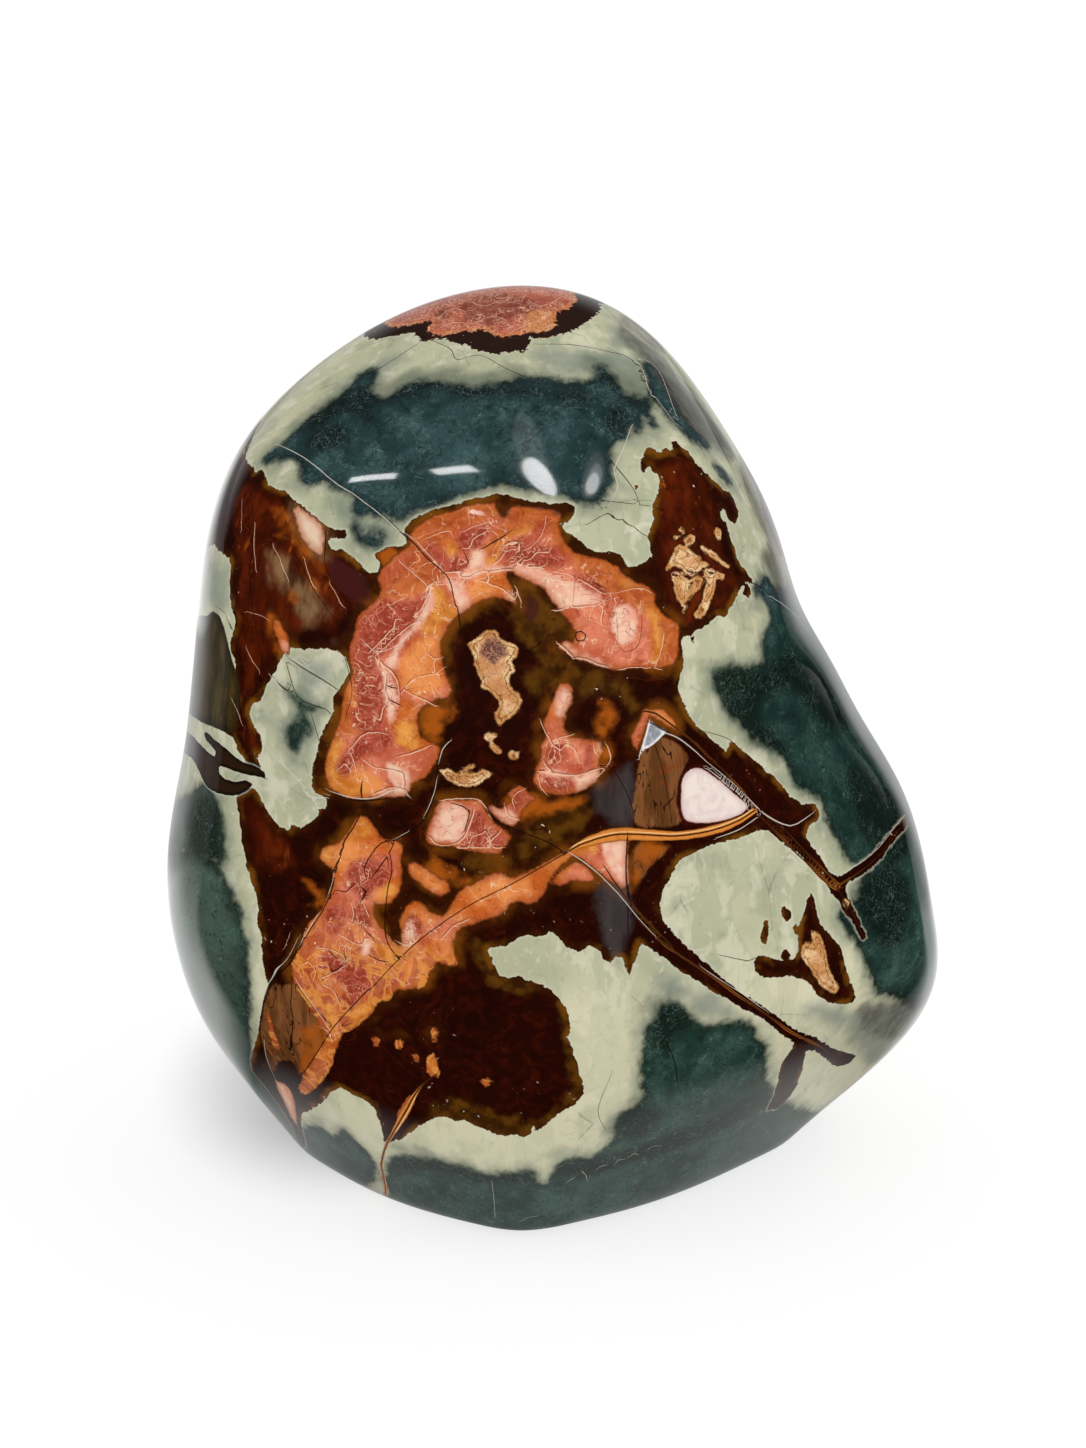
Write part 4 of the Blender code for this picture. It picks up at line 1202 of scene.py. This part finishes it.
def cloud(size, detail=2.0, roughness=0.5, place=None, warp=0.0):
    """Noise about zero, from -0.5 to 0.5, whose lumps are size millimetres across."""
    node = nodes.new("ShaderNodeTexNoise")
    feed(node.inputs["Vector"], place or millimetres)
    feed(node.inputs["Scale"], 1 / size)
    feed(node.inputs["Detail"], detail)
    feed(node.inputs["Roughness"], roughness)
    feed(node.inputs["Distortion"], warp)
    return calc("SUBTRACT", node.outputs["Fac"], 0.5)


def thread(size, width, detail=2.0, warp=1.0, place=None):
    """Thin winding lines where such a noise passes through zero: 1 on the line, 0 where the noise is further
    than width from zero."""
    return rise(calc("ABSOLUTE", cloud(size, detail, 0.5, place, warp)), width * 0.3, width, 1.0, 0.0)


def roughened(field, *clouds):
    """A field in millimetres plus each cloud times its weight."""
    for noise, weight in clouds:
        field = calc("MULTIPLY_ADD", noise, weight, field)
    return field


def both(*parts):
    """The product of some parts."""
    product = parts[0]
    for part in parts[1:]:
        product = calc("MULTIPLY", product, part)
    return product


def kept(name):
    """The three numbers of a stored attribute."""
    node = nodes.new("ShaderNodeAttribute")
    node.attribute_name = name
    return split(node.outputs["Vector"])


def split(vector):
    """The three parts of a vector or colour."""
    node = nodes.new("ShaderNodeSeparateXYZ")
    feed(node.inputs[0], vector)
    return node.outputs


def stretched(x, y, z, turn):
    """The place in millimetres, turned by turn degrees about Y and then multiplied by x, y and z."""
    node = nodes.new("ShaderNodeMapping")
    feed(node.inputs["Vector"], millimetres)
    node.inputs["Rotation"].default_value = (0.0, math.radians(turn), 0.0)
    node.inputs["Scale"].default_value = (x, y, z)
    return node.outputs[0]


coordinates = nodes.new("ShaderNodeTexCoord")
scaled = nodes.new("ShaderNodeVectorMath")
scaled.operation = "SCALE"
scaled.inputs["Scale"].default_value = MM_PER_METRE
feed(scaled.inputs[0], coordinates.outputs["Object"])
millimetres = scaled.outputs[0]

across_place, depth_place, height = split(millimetres)
far = rise(depth_place, 6.0, 20.0)
wide = cloud(16, 3)
broad = cloud(6, 3)
lump = cloud(2.6, 3)
grain = cloud(1.0, 3)
speck = cloud(0.4, 2)
swirl = cloud(3.4, 4, 0.6, warp=1.6)
grained = stretched(1.0, 1.0, 0.22, 24)
streak = cloud(2.4, 4, 0.6, grained)
fine_streak = cloud(0.8, 3, 0.6, grained)
shards = nodes.new("ShaderNodeTexVoronoi")
feed(shards.inputs["Vector"], stretched(1.0, 1.0, 0.5, 35))
feed(shards.inputs["Scale"], 1 / SHARD_SIZE)
feed(shards.inputs["Detail"], 1.0)
shard = calc("SUBTRACT", split(shards.outputs["Color"])[0], 0.5)
# Painted highlights: tiny pale glints, sparse, laid on the brown and the pink
painted_glint = both(rise(cloud(0.7, 1), 0.2, 0.25), rise(swirl, 0.02, 0.12))

# The ground: sage cream, clouded and finely cracked, and dark teal, mottled and scratched
teal_field, shadow_field, grey_field = kept("ground")
teal_field = roughened(teal_field, (both(broad, far), 14.0), (lump, 2.6), (grain, 0.9), (speck, 0.3))
shadow_field = roughened(shadow_field, (broad, 5.0), (lump, 1.5))
crackle = nodes.new("ShaderNodeTexVoronoi")
crackle.feature = "DISTANCE_TO_EDGE"
feed(crackle.inputs["Vector"], stretched(1.0, 1.0, 0.6, -30))
feed(crackle.inputs["Scale"], 1 / CRACKLE_SIZE)
cracked = rise(roughened(crackle.outputs["Distance"], (grain, 0.02)), 0.0, 0.009, 1.0, 0.0)
cream = blend(rise(wide, -0.12, 0.12), (186, 186, 154), (202, 200, 168))
# Painted light, partly also the cream's own paler tone: the cream is lighter low down, below about 50 mm,
# where light comes from below and in front
cream = blend(rise(height, 52.0, 42.0, 0.0, 0.8), cream, (220, 215, 182))
cream = blend(rise(shard, -0.02, 0.06, 0.0, 0.35), cream, (172, 176, 150))
slanting = cloud(4.0, 3, place=stretched(1.0, 1.0, 0.5, 35))
cream = layered(
    cream,
    (rise(slanting, 0.04, 0.1, 0.0, 0.5), (224, 220, 194)),
    (rise(broad, 0.0, 0.2, 0.0, 0.7), (166, 170, 142)),
    (rise(swirl, 0.06, 0.2, 0.0, 0.5), (226, 221, 198)),
    (rise(swirl, -0.08, -0.2, 0.0, 0.4), (150, 155, 128)),
    # painted light again: lighter cream low down, below about 50 mm
    (rise(height, 52.0, 42.0, 0.0, 0.4), (222, 217, 184)),
    (rise(fine_streak, 0.1, 0.22, 0.0, 0.2), (154, 158, 136)),
    (both(cracked, rise(broad, -0.05, 0.15, 0.0, 0.45)), (104, 106, 92)),
    (rise(roughened(grey_field, (broad, 5.0)), -1.5, 2.5, 0.0, 0.75), (134, 142, 130)),
    (rise(shadow_field, -2.2, 1.0, 0.0, 0.62), (66, 72, 58)),
    (rise(roughened(teal_field, (broad, 5.0)), -3.2, -0.3, 0.0, 0.5), (122, 131, 112)),
)
teal = blend(rise(broad, -0.18, 0.2), (34, 56, 57), (58, 84, 85))
teal = layered(
    teal,
    (rise(wide, 0.02, 0.14, 0.0, 0.5), (74, 98, 98)),
    (rise(shard, -0.05, 0.05, 0.0, 0.3), (32, 50, 52)),
    # painted sheen: the teal is lighter at the far left, beyond 46 mm left of the middle
    (rise(across_place, -46.0, -58.0, 0.0, 0.5), (92, 102, 100)),
    (rise(lump, 0.04, 0.2, 0.0, 0.45), (70, 95, 94)),
    (rise(swirl, 0.02, 0.2, 0.0, 0.7), (28, 43, 43)),
    (rise(shadow_field, -1.5, 2.0, 0.0, 0.88), (19, 27, 26)),
    (rise(teal_field, 0.2, 2.8, 0.7, 0.0), (26, 34, 31)),
    (rise(grain, 0.1, 0.24, 0.0, 0.6), (18, 27, 27)),
    (rise(cloud(1.7, 2, warp=0.8), 0.12, 0.2, 0.0, 0.5), (17, 26, 26)),
    (both(thread(1.5, 0.03, 2.0, 1.2), rise(broad, -0.12, 0.1, 0.05, 0.4)), (92, 114, 114)),
    (both(thread(2.2, 0.012, 2.0, 0.6), rise(lump, -0.02, 0.12, 0.0, 0.4)), (120, 140, 138)),
    (both(rise(speck, 0.16, 0.24), rise(swirl, 0.0, 0.14, 0.0, 0.6)), (104, 124, 122)),
)
greener = rise(height, 108.0, 96.0)
teal = blend(greener, teal, (268, 275, 246), "MULTIPLY")
darker = both(greener, rise(height, 42.0, 50.0), rise(across_place, 28.0, 36.0))
teal = blend(darker, teal, (234, 244, 246), "MULTIPLY")
colour = blend(rise(teal_field, -0.9, 0.8), cream, teal)

# The brown: nearly black red-brown, streaked russet, and a golden olive rim where it thins out
brown_field, olive_field, russet_field = kept("brown")
pink_field, orange_field, pale_field = kept("pink")
brick_field, crown_field, maroon_field = kept("brick")
crown = rise(crown_field, -0.4, 0.4)
uncrowned = calc("SUBTRACT", 1.0, crown)
maroon = rise(roughened(maroon_field, (lump, 2.0), (grain, 0.5)), -0.2, 0.5)
strayed = both(roughened(both(broad, 9.0), (lump, 5.0)), far)
ragged = both(roughened(both(grain, 1.5), (speck, 0.4)), rise(crown_field, -1.8, -1.0))
brown_field = roughened(brown_field, (strayed, 1.0), (lump, 0.8), (grain, 0.9), (speck, 0.35), (ragged, 1.0))
pink_field = roughened(pink_field, (strayed, 0.7), (lump, 0.9), (grain, 0.7), (speck, 0.2), (ragged, 1.0))
brown = blend(rise(swirl, -0.05, 0.2), (36, 8, 3), (56, 14, 4))
brown = blend(rise(lump, 0.1, 0.25, 0.0, 0.4), brown, (76, 24, 6))
brown = blend(rise(shard, 0.1, 0.14, 0.0, 0.3), brown, (24, 6, 3))
russet = blend(rise(streak, -0.14, 0.2), (62, 16, 4), (98, 34, 7))
russet = blend(rise(broad, -0.02, 0.14, 0.0, 0.7), russet, (46, 12, 3))
russet = blend(rise(lump, 0.04, 0.2, 0.0, 0.5), russet, (40, 11, 3))
flame = both(rise(cloud(1.8, 3, 0.6, grained), 0.12, 0.26), rise(wide, -0.1, 0.1))
russet = blend(flame, russet, (186, 88, 22))
brown = blend(rise(roughened(russet_field, (broad, 5.0)), -0.8, 1.8), brown, russet)
olive = blend(rise(lump, -0.12, 0.14), (58, 30, 6), (92, 56, 12))
olive = blend(rise(swirl, 0.04, 0.2, 0.0, 0.8), olive, (40, 16, 5))
brown = blend(rise(roughened(olive_field, (lump, 3.0), (grain, 1.0)), -0.8, 1.2), brown, olive)
brown = blend(both(maroon, 0.75), brown, (66, 27, 26))
halo = both(rise(pink_field, -2.2, -0.1), rise(broad, -0.06, 0.14, 0.1, 0.85))
halo = both(halo, rise(height, 36.0, 44.0), uncrowned)
brown = blend(halo, brown, (122, 66, 12))
veinless = rise(kept("vein")[1], 1.2, 2.2)
rim = both(rise(brown_field, 0.3, 1.5, 0.9, 0.0), rise(broad, -0.04, 0.12, 0.08, 1.0), uncrowned, veinless)
brown = layered(
    brown,
    (rim, (116, 70, 14)),
    (both(crown, 0.8), (44, 30, 26)),
    (rise(brown_field, 0.0, 0.2, 0.6, 0.0), (36, 18, 7)),
)
colour = blend(rise(brown_field, -0.5, -0.05, 0.0, 0.4), colour, (216, 212, 188))
colour = blend(rise(brown_field, -0.06, 0.08), colour, brown)

# The hazes in the brown: milky sheens, striped smoky wedges, and golden windows; and painted glints
milky_field, wedge_field, glow_field = kept("haze")
inside_brown = rise(brown_field, 0.0, 0.3)
milky = both(rise(roughened(milky_field, (lump, 3.0)), -0.8, 2.2), rise(streak, -0.14, 0.12, 0.1, 0.85))
colour = blend(both(milky, inside_brown), colour, (142, 112, 76))
wedge = blend(rise(streak, -0.1, 0.12), (98, 59, 28), (136, 86, 48))
wedge = blend(rise(lump, 0.04, 0.2, 0.0, 0.6), wedge, (136, 60, 30))
wedge = blend(thread(3.0, 0.012, 2.0, 1.4, grained), wedge, (44, 18, 9))
wedge_part = rise(roughened(wedge_field, (grain, 0.8)), -0.1, 0.5, 0.0, 0.95)
colour = blend(both(wedge_part, inside_brown), colour, wedge)
glow = rise(roughened(glow_field, (lump, 2.6), (grain, 1.0)), -0.8, 1.2)
glow = both(glow, rise(lump, -0.2, 0.12, 0.4, 0.9))
colour = blend(both(glow, inside_brown, uncrowned), colour, (176, 88, 20))
# Painted highlights: glints over the brown
colour = blend(both(painted_glint, inside_brown, rise(wide, -0.05, 0.1)), colour, (226, 206, 180))

# The pink and orange: salmon, with its zones, threads in the red, a brown shaded rim, and painted glints
gold_field, red_field, dusk_field = kept("agate")
low = rise(height, 62.0, 48.0)
pink = blend(rise(broad, -0.14, 0.14), (196, 94, 64), (228, 132, 100))
pink = layered(
    pink,
    (both(low, 0.75), (204, 114, 58)),
    (rise(swirl, 0.02, 0.2, 0.0, 0.6), (180, 74, 48)),
    (rise(swirl, -0.04, -0.2, 0.0, 0.7), (244, 164, 128)),
)
orange = blend(rise(broad, -0.15, 0.15), (202, 98, 38), (240, 150, 84))
orange = blend(rise(swirl, 0.05, 0.2, 0.0, 0.5), orange, (180, 76, 28))
pink = blend(rise(roughened(orange_field, (lump, 3.0), (grain, 1.0)), -1.0, 0.8), pink, orange)
plates = cloud(5.0, 3, 0.5, warp=1.2)
pink = blend(both(low, rise(plates, 0.02, 0.06, 0.0, 0.6)), pink, (172, 82, 58))
brick = blend(rise(swirl, -0.15, 0.15), (204, 108, 58), (168, 72, 36))
brick = blend(rise(fine_streak, 0.0, 0.2, 0.0, 0.5), brick, (146, 60, 30))
brick_field = roughened(brick_field, (lump, 4.0), (grain, 1.0))
gold = blend(rise(lump, -0.15, 0.15), (200, 112, 36), (238, 160, 76))
pink = blend(rise(roughened(gold_field, (lump, 2.6), (grain, 0.8)), -0.8, 0.8, 0.0, 0.95), pink, gold)
pink = blend(rise(brick_field, -1.2, 1.0, 0.0, 0.9), pink, brick)
red = blend(rise(swirl, -0.1, 0.15), (150, 56, 40), (184, 84, 66))
red = blend(both(thread(2.8, 0.04, 2.0, 1.6), rise(lump, -0.1, 0.1, 0.15, 0.7)), red, (212, 120, 96))
red = blend(both(thread(4.2, 0.014, 2.0, 1.8), rise(lump, 0.1, -0.1)), red, (236, 170, 140))
red_part = rise(roughened(red_field, (lump, 2.6), (grain, 1.0)), -0.7, 0.7, 0.0, 0.95)
pink = blend(red_part, pink, red)
pale = blend(rise(lump, -0.1, 0.15), (250, 206, 178), (240, 172, 146))
pale_part = rise(roughened(pale_field, (lump, 2.2), (grain, 1.0)), -0.5, 0.6, 0.0, 0.95)
pink = layered(
    pink,
    (pale_part, pale),
    (both(thread(6.5, 0.012, 3.0, 1.8), rise(broad, -0.1, 0.1, 0.0, 0.8)), (246, 198, 160)),
    (both(thread(5.2, 0.009, 3.0, 2.2), rise(broad, -0.1, 0.1, 0.8, 0.0)), (132, 46, 26)),
    (rise(grain, 0.14, 0.28, 0.0, 0.3), (246, 192, 156)),
    (rise(milky_field, -0.5, 1.0, 0.0, 0.8), (228, 204, 176)),
    # painted highlights: glints over the pink
    (painted_glint, (252, 226, 204)),
    (both(crown, 0.6), (186, 108, 92)),
    (both(crown, maroon, 0.6), (104, 50, 46)),
    (rise(pink_field, 0.2, 1.6, 0.62, 0.0), (178, 88, 30)),
    (rise(pink_field, 0.0, 0.5, rise(height, 36.0, 44.0, 0.4, 0.85), 0.0), (96, 40, 10)),
    (both(crown, rise(pink_field, 0.3, 1.1, 0.85, 0.0)), (226, 146, 100)),
)
crown_gold = rise(roughened(gold_field, (lump, 1.5), (grain, 1.5)), -0.2, 0.3)
pink = blend(both(crown, crown_gold), pink, (212, 140, 88))
pink = blend(both(crown, thread(1.3, 0.07, 2.0, 2.0), 0.6), pink, (128, 62, 44))
crown_thread = both(thread(1.8, 0.04, 2.0, 2.4), rise(lump, 0.12, -0.06, 0.0, 0.8))
pink = blend(both(crown, crown_thread), pink, (240, 184, 150))
dusk = rise(roughened(dusk_field, (lump, 1.6), (grain, 0.6)), -0.3, 0.6, 0.0, 0.85)
border = both(rise(calc("ABSOLUTE", plates), 0.012, 0.045, 1.0, 0.0), low)
pink = blend(both(border, rise(pale_part, 0.0, 1.0, 0.8, 0.2)), pink, (226, 148, 70))
pink = blend(dusk, pink, (84, 52, 42))
colour = blend(rise(pink_field, -0.14, 0.16), colour, pink)

# The dark figures: the oval and the strands on the left edge, and a violet-grey smoke, partly the stone's own
# smoky bands and partly a painted sheen on the ridge and along the left edge
oval_field, strand_field, smoke_and_sheen_field = kept("dark")
smoke_and_sheen = both(rise(roughened(smoke_and_sheen_field, (lump, 2.5)), -0.8, 1.4), rise(streak, -0.2, 0.15, 0.35, 0.7))
colour = blend(smoke_and_sheen, colour, (76, 72, 72))
oval = blend(rise(streak, -0.1, 0.15), (44, 36, 18), (76, 62, 30))
oval = blend(rise(oval_field, 0.2, 2.0, 0.7, 0.0), oval, (24, 20, 12))
colour = blend(rise(roughened(oval_field, (grain, 0.3)), -0.1, 0.12), colour, oval)
strand_field = roughened(strand_field, (grain, 0.3))
strand = blend(rise(strand_field, 0.1, 0.8), (22, 14, 8), (44, 28, 14))
colour = blend(rise(strand_field, -0.4, -0.06, 0.0, 0.5), colour, (196, 196, 182))
colour = blend(rise(strand_field, -0.08, 0.06), colour, strand)

# The inclusions: banded tan lumps with dark outlines, white quartz, and the steel-grey splinter
tan_field, quartz_field, steel_field = kept("bits")
tan_field = roughened(tan_field, (grain, 0.9), (speck, 0.2))
tan = blend(rise(lump, -0.1, 0.15), (206, 148, 90), (240, 202, 150))
ring = rise(calc("ABSOLUTE", calc("SUBTRACT", tan_field, 0.6)), 0.03, 0.12, 0.8, 0.0)
tan = layered(
    tan,
    (ring, (122, 60, 22)),
    (both(thread(1.8, 0.03, 3.0, 1.5), 0.8), (140, 76, 36)),
    (rise(tan_field, 0.9, 1.6, 0.0, 0.4), (214, 140, 100)),
    (dusk, (80, 42, 52)),
    (both(dusk, thread(1.4, 0.035, 2.0, 1.6)), (214, 150, 112)),
    (rise(tan_field, 0.0, 0.2, 0.85, 0.0), (80, 40, 14)),
)
colour = blend(rise(tan_field, -0.35, -0.12, 0.0, 0.8), colour, (34, 13, 5))
colour = blend(rise(tan_field, -0.12, -0.02), colour, tan)
quartz = blend(rise(swirl, -0.1, 0.2), (246, 230, 218), (232, 212, 208))
quartz = blend(rise(quartz_field, 0.0, 1.2, 0.6, 0.0), quartz, (214, 184, 184))
quartz = blend(rise(quartz_field, 0.0, 0.3, 0.7, 0.0), quartz, (150, 84, 60))
colour = blend(rise(quartz_field, -0.8, -0.1, 0.0, 0.85), colour, (58, 14, 5))
colour = blend(rise(roughened(quartz_field, (grain, 0.4)), -0.05, 0.1), colour, quartz)
steel = blend(rise(lump, -0.1, 0.15), (140, 142, 150), (214, 216, 222))
steel = blend(rise(steel_field, 0.15, 0.5), (240, 238, 236), steel)
colour = blend(rise(roughened(steel_field, (grain, 0.3)), -0.1, 0.1), colour, steel)


def strip(name, swell, spread=0.5, bend=0.12):
    """How deep in a vein each point lies: 1 less the offset over the half width, so 1 on its middle line and
    0 at its edge. The half width is swollen by swell times the noise, and the line bent by bend times it. It
    is 0 from spread millimetres outside the vein, where the nearest vein changes. Also the signed offset."""
    signed, plain, half = kept(name)
    signed = roughened(signed, (lump, bend), (grain, bend * 0.6))
    half = both(half, calc("MULTIPLY_ADD", lump, swell, 1.0))
    depth = calc("SUBTRACT", 1.0, calc("DIVIDE", calc("ABSOLUTE", signed), calc("MAXIMUM", half, 0.01)))
    return both(depth, calc("LESS_THAN", plain, calc("ADD", half, spread))), signed


# The veins, the pale lace with a painted shadow line beside it, the dark cracks and the white hairlines
depth, side = strip("vein", 0.6)
vein = blend(rise(depth, 0.0, 0.4), (96, 42, 10), (222, 138, 60))
vein = blend(rise(fine_streak, 0.0, 0.18, 0.0, 0.5), vein, (190, 104, 38))
beside = calc("ABSOLUTE", calc("SUBTRACT", side, 0.36))
vein = blend(rise(beside, 0.03, 0.14, 0.8, 0.0), vein, (250, 208, 148))
vein = blend(rise(calc("ABSOLUTE", side), 0.08, 0.2, 0.95, 0.0), vein, (34, 12, 5))
colour = blend(rise(depth, 0.02, 0.12), colour, vein)
depth, side = strip("lace", 1.6, 0.5, 0.5)
beside = calc("ABSOLUTE", calc("SUBTRACT", side, 0.26))
# Painted shade: a dark line along one side of each pale lace line, as if the lace stood raised
lace_painted_shadow = both(rise(beside, 0.05, 0.2, 0.6, 0.0), rise(depth, -2.0, -1.0))
colour = blend(lace_painted_shadow, colour, (120, 44, 24))
colour = blend(rise(depth, 0.0, 1.0, 0.0, 0.85), colour, (250, 208, 176))
depth, side = strip("crack", 0.5)
colour = blend(rise(depth, 0.0, 0.6, 0.0, 0.92), colour, (24, 12, 8))
depth, side = strip("hair", 0.9)
colour = blend(rise(depth, 0.0, 0.9, 0.0, 0.85), colour, (222, 213, 198))

shader = nodes["Principled BSDF"]
feed(shader.inputs["Base Color"], colour)
shader.inputs["Roughness"].default_value = POLISH_ROUGHNESS
shader.inputs["IOR"].default_value = POLISH_INDEX
shader.inputs["Specular IOR Level"].default_value = POLISH_GLOSS
stone.data.materials.append(material)

# The floor and the light
# A broad white sheet under soft studio light. The polish mirrors white surfaces at the sides and behind, and
# dark ones in front, where the sheet is shaded for it too, with a few small lamps. That shading is a painted
# reflection, and to the camera the sheet glows white, with a painted shadow about the foot.
FLOOR_RADIUS = 4.0
FLOOR_CORNERS = 96
FLOOR_DROP = 0.0002
LAMP_DISTANCE = 1.2
NORMAL_STEP = 0.01
WHITE = (1.0, 1.0, 1.0, 1.0)
floor_mesh = bpy.data.meshes.new("floor")
turn = np.linspace(0, 2 * math.pi, FLOOR_CORNERS, endpoint=False)
rim_points = np.stack([np.cos(turn), np.sin(turn), 0 * turn], axis=1) * FLOOR_RADIUS
floor_mesh.from_pydata(rim_points.tolist(), [], [list(range(len(turn)))])
floor = bpy.data.objects.new("floor", floor_mesh)
floor.location.z = -FLOOR_DROP
bpy.context.scene.collection.objects.link(floor)
floor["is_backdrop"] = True
paper = bpy.data.materials.new("white_paper")
paper.use_nodes = True
floor_mesh.materials.append(paper)
nodes = paper.node_tree.nodes
path = nodes.new("ShaderNodeLightPath")
across, along, _ = split(nodes.new("ShaderNodeTexCoord").outputs["Object"])


def away(x, y):
    """How far (x, y) is from the middle: the root of x squared plus y squared."""
    return calc("POWER", calc("MULTIPLY_ADD", x, x, both(y, y)), 0.5)


# What the polish mirrors of the sheet, a painted reflection for glossy rays only: white behind the stone and
# to its sides, and in a ring at its foot; dark elsewhere
apart = away(along, across)
rightward = calc("MAXIMUM", across, 0.0)
behind = calc("SUBTRACT", along, calc("MULTIPLY_ADD", both(rightward, rightward), 2.2, 0.012))
sideways = rise(calc("ABSOLUTE", across), 0.1, 0.45, 1.0, 0.2)
distant = rise(along, 0.115, 0.15, 1.0, 0.57)
distant = calc("MAXIMUM", distant, both(rise(along, 0.27, 0.31), rise(across, -0.09, -0.045, 1.0, 0.0)))
seen = both(rise(behind, -0.008, 0.012), sideways, distant)
seen = calc("MAXIMUM", seen, rise(apart, 0.048, 0.07, 0.8, 0.0))
painted_floor_shade = both(path.outputs["Is Glossy Ray"], calc("SUBTRACT", 1.0, seen))
# For the camera the sheet's own colour is mostly darkened; the glow below paints it white
painted_floor_shade = calc("ADD", painted_floor_shade, both(path.outputs["Is Camera Ray"], 0.7))

# What the camera sees of it: white from its own glow, but for a painted pool of shade about the foot. The
# polish sees it glow too where it mirrors it white, a painted reflection
aside = calc("ADD", across, 0.040)
beyond = both(calc("SUBTRACT", along, 0.030), 0.6)
painted_shadow_distance = away(aside, beyond)
glow = both(path.outputs["Is Camera Ray"], rise(painted_shadow_distance, 0.010, 0.034, 0.36, 0.765))
glow = calc("ADD", glow, both(path.outputs["Is Glossy Ray"], seen, 0.2))
paint = nodes["Principled BSDF"]
feed(paint.inputs["Base Color"], blend(painted_floor_shade, (250, 250, 250), (12, 12, 12)))
paint.inputs["Roughness"].default_value = 1.0
paint.inputs["Specular IOR Level"].default_value = 0.0
paint.inputs["Emission Color"].default_value = WHITE
feed(paint.inputs["Emission Strength"], glow)

# The studio: plain white to the camera, its light a little stronger low down, on the right and in front, and
# nearly black in the polish but for a pale stretch behind
world = bpy.data.worlds.new("studio")
bpy.context.scene.world = world
world.use_nodes = True
nodes = world.node_tree.nodes
path = nodes.new("ShaderNodeLightPath")
across, along, above = split(nodes.new("ShaderNodeTexCoord").outputs["Generated"])
behind = calc("MULTIPLY_ADD", above, -0.25, along)
gloss = rise(behind, 0.6, 0.92, 0.015, 0.45)
soft = calc("MULTIPLY_ADD", along, -0.15, rise(above, 0.1, 1.0, 1.45, 1.0))
soft = calc("MULTIPLY_ADD", across, 0.18, soft)
lit = calc("ADD", both(path.outputs["Is Glossy Ray"], calc("SUBTRACT", gloss, soft)), soft)
lit = calc("ADD", both(path.outputs["Is Camera Ray"], calc("SUBTRACT", 1.0, lit)), lit)
feed(nodes["Background"].inputs["Strength"], lit)
nodes["Background"].inputs["Color"].default_value = WHITE


def mirrored(pixels):
    """The surface places that pixels show, and the mirrored ways on from there: s - 2 (s.n) n for the line of
    sight s and the normal n, which comes from differences of the form along two tangents."""
    places = front.places(np.array(pixels, float))
    outward = places / np.linalg.norm(places, axis=1)[:, None]
    side = np.cross(outward, (0.0, 0.0, 1.0))
    above = np.cross(side, outward)
    corners = []
    for step in (side, -side, above, -above):
        way_out = outward + NORMAL_STEP * step
        way_out /= np.linalg.norm(way_out, axis=1)[:, None]
        corners.append(way_out * stone_radius(way_out)[:, None])
    normal = np.cross(corners[0] - corners[1], corners[2] - corners[3])
    normal /= np.linalg.norm(normal, axis=1)[:, None]
    sight = places - TOWARD_VIEWER * focal_pixels
    sight /= np.linalg.norm(sight, axis=1)[:, None]
    return places, sight - 2 * (sight * normal).sum(axis=1)[:, None] * normal


def lamp(name, start, end, thickness, strength, shape="RECTANGLE", distance=LAMP_DISTANCE):
    """An area lamp that the polish mirrors as a bar from one pixel to another, thickness pixels across. It
    hangs at the distance in metres along the mirrored line of sight, as wide as the bar's ends are apart
    there."""
    start, end = np.array(start, float), np.array(end, float)
    across = (end - start)[::-1] * (1, -1) / np.linalg.norm(end - start) * thickness / 2
    centre = (start + end) / 2
    places, ways = mirrored([centre, start, end, centre - across, centre + across])
    data = bpy.data.lights.new(name, "AREA")
    data.shape = shape
    data.size = float(np.linalg.norm(ways[2] - ways[1])) * distance
    data.size_y = float(np.linalg.norm(ways[4] - ways[3])) * distance
    data.energy = strength * data.size * data.size_y * math.pi
    facing = Vector(ways[0])
    short_axis = facing.cross(Vector(ways[2] - ways[1])).normalized()
    long_axis = short_axis.cross(facing)
    hung = bpy.data.objects.new(name, data)
    hung.rotation_mode = "QUATERNION"
    hung.rotation_quaternion = Matrix((long_axis, short_axis, facing)).transposed().to_quaternion()
    hung.location = Vector(hub_place + places[0] * PICTURE_UNIT + ways[0] * distance)
    hung.visible_diffuse = False
    bpy.context.scene.collection.objects.link(hung)


lamp("lamp_bar_left", (347, 480), (394, 475), 5, 18)
lamp("lamp_bar_middle", (431, 472), (475, 468), 6, 18)
lamp("lamp_bar_crescent", (470, 511), (483, 514), 4, 14)
lamp("lamp_window", (530, 458), (551, 497), 16, 14, "ELLIPSE")
lamp("lamp_window_glow", (516, 418), (545, 482), 26, 0.7, "ELLIPSE")
lamp("lamp_right_glow", (584, 503), (602, 463), 20, 0.7, "ELLIPSE")
lamp("lamp_right_soft", (586, 499), (600, 470), 14, 2.0, "ELLIPSE")
lamp("lamp_right_window", (588, 495), (597, 476), 12, 6, "ELLIPSE")
lamp("lamp_ridge", (612, 772), (612, 830), 40, 0.8)
lamp("lamp_ridge_low", (614, 884), (614, 950), 30, 0.7)
lamp("lamp_ridge_edge", (592, 800), (612, 830), 5, 9, "ELLIPSE")

bpy.context.scene.view_settings.view_transform = "Standard"
low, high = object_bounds()
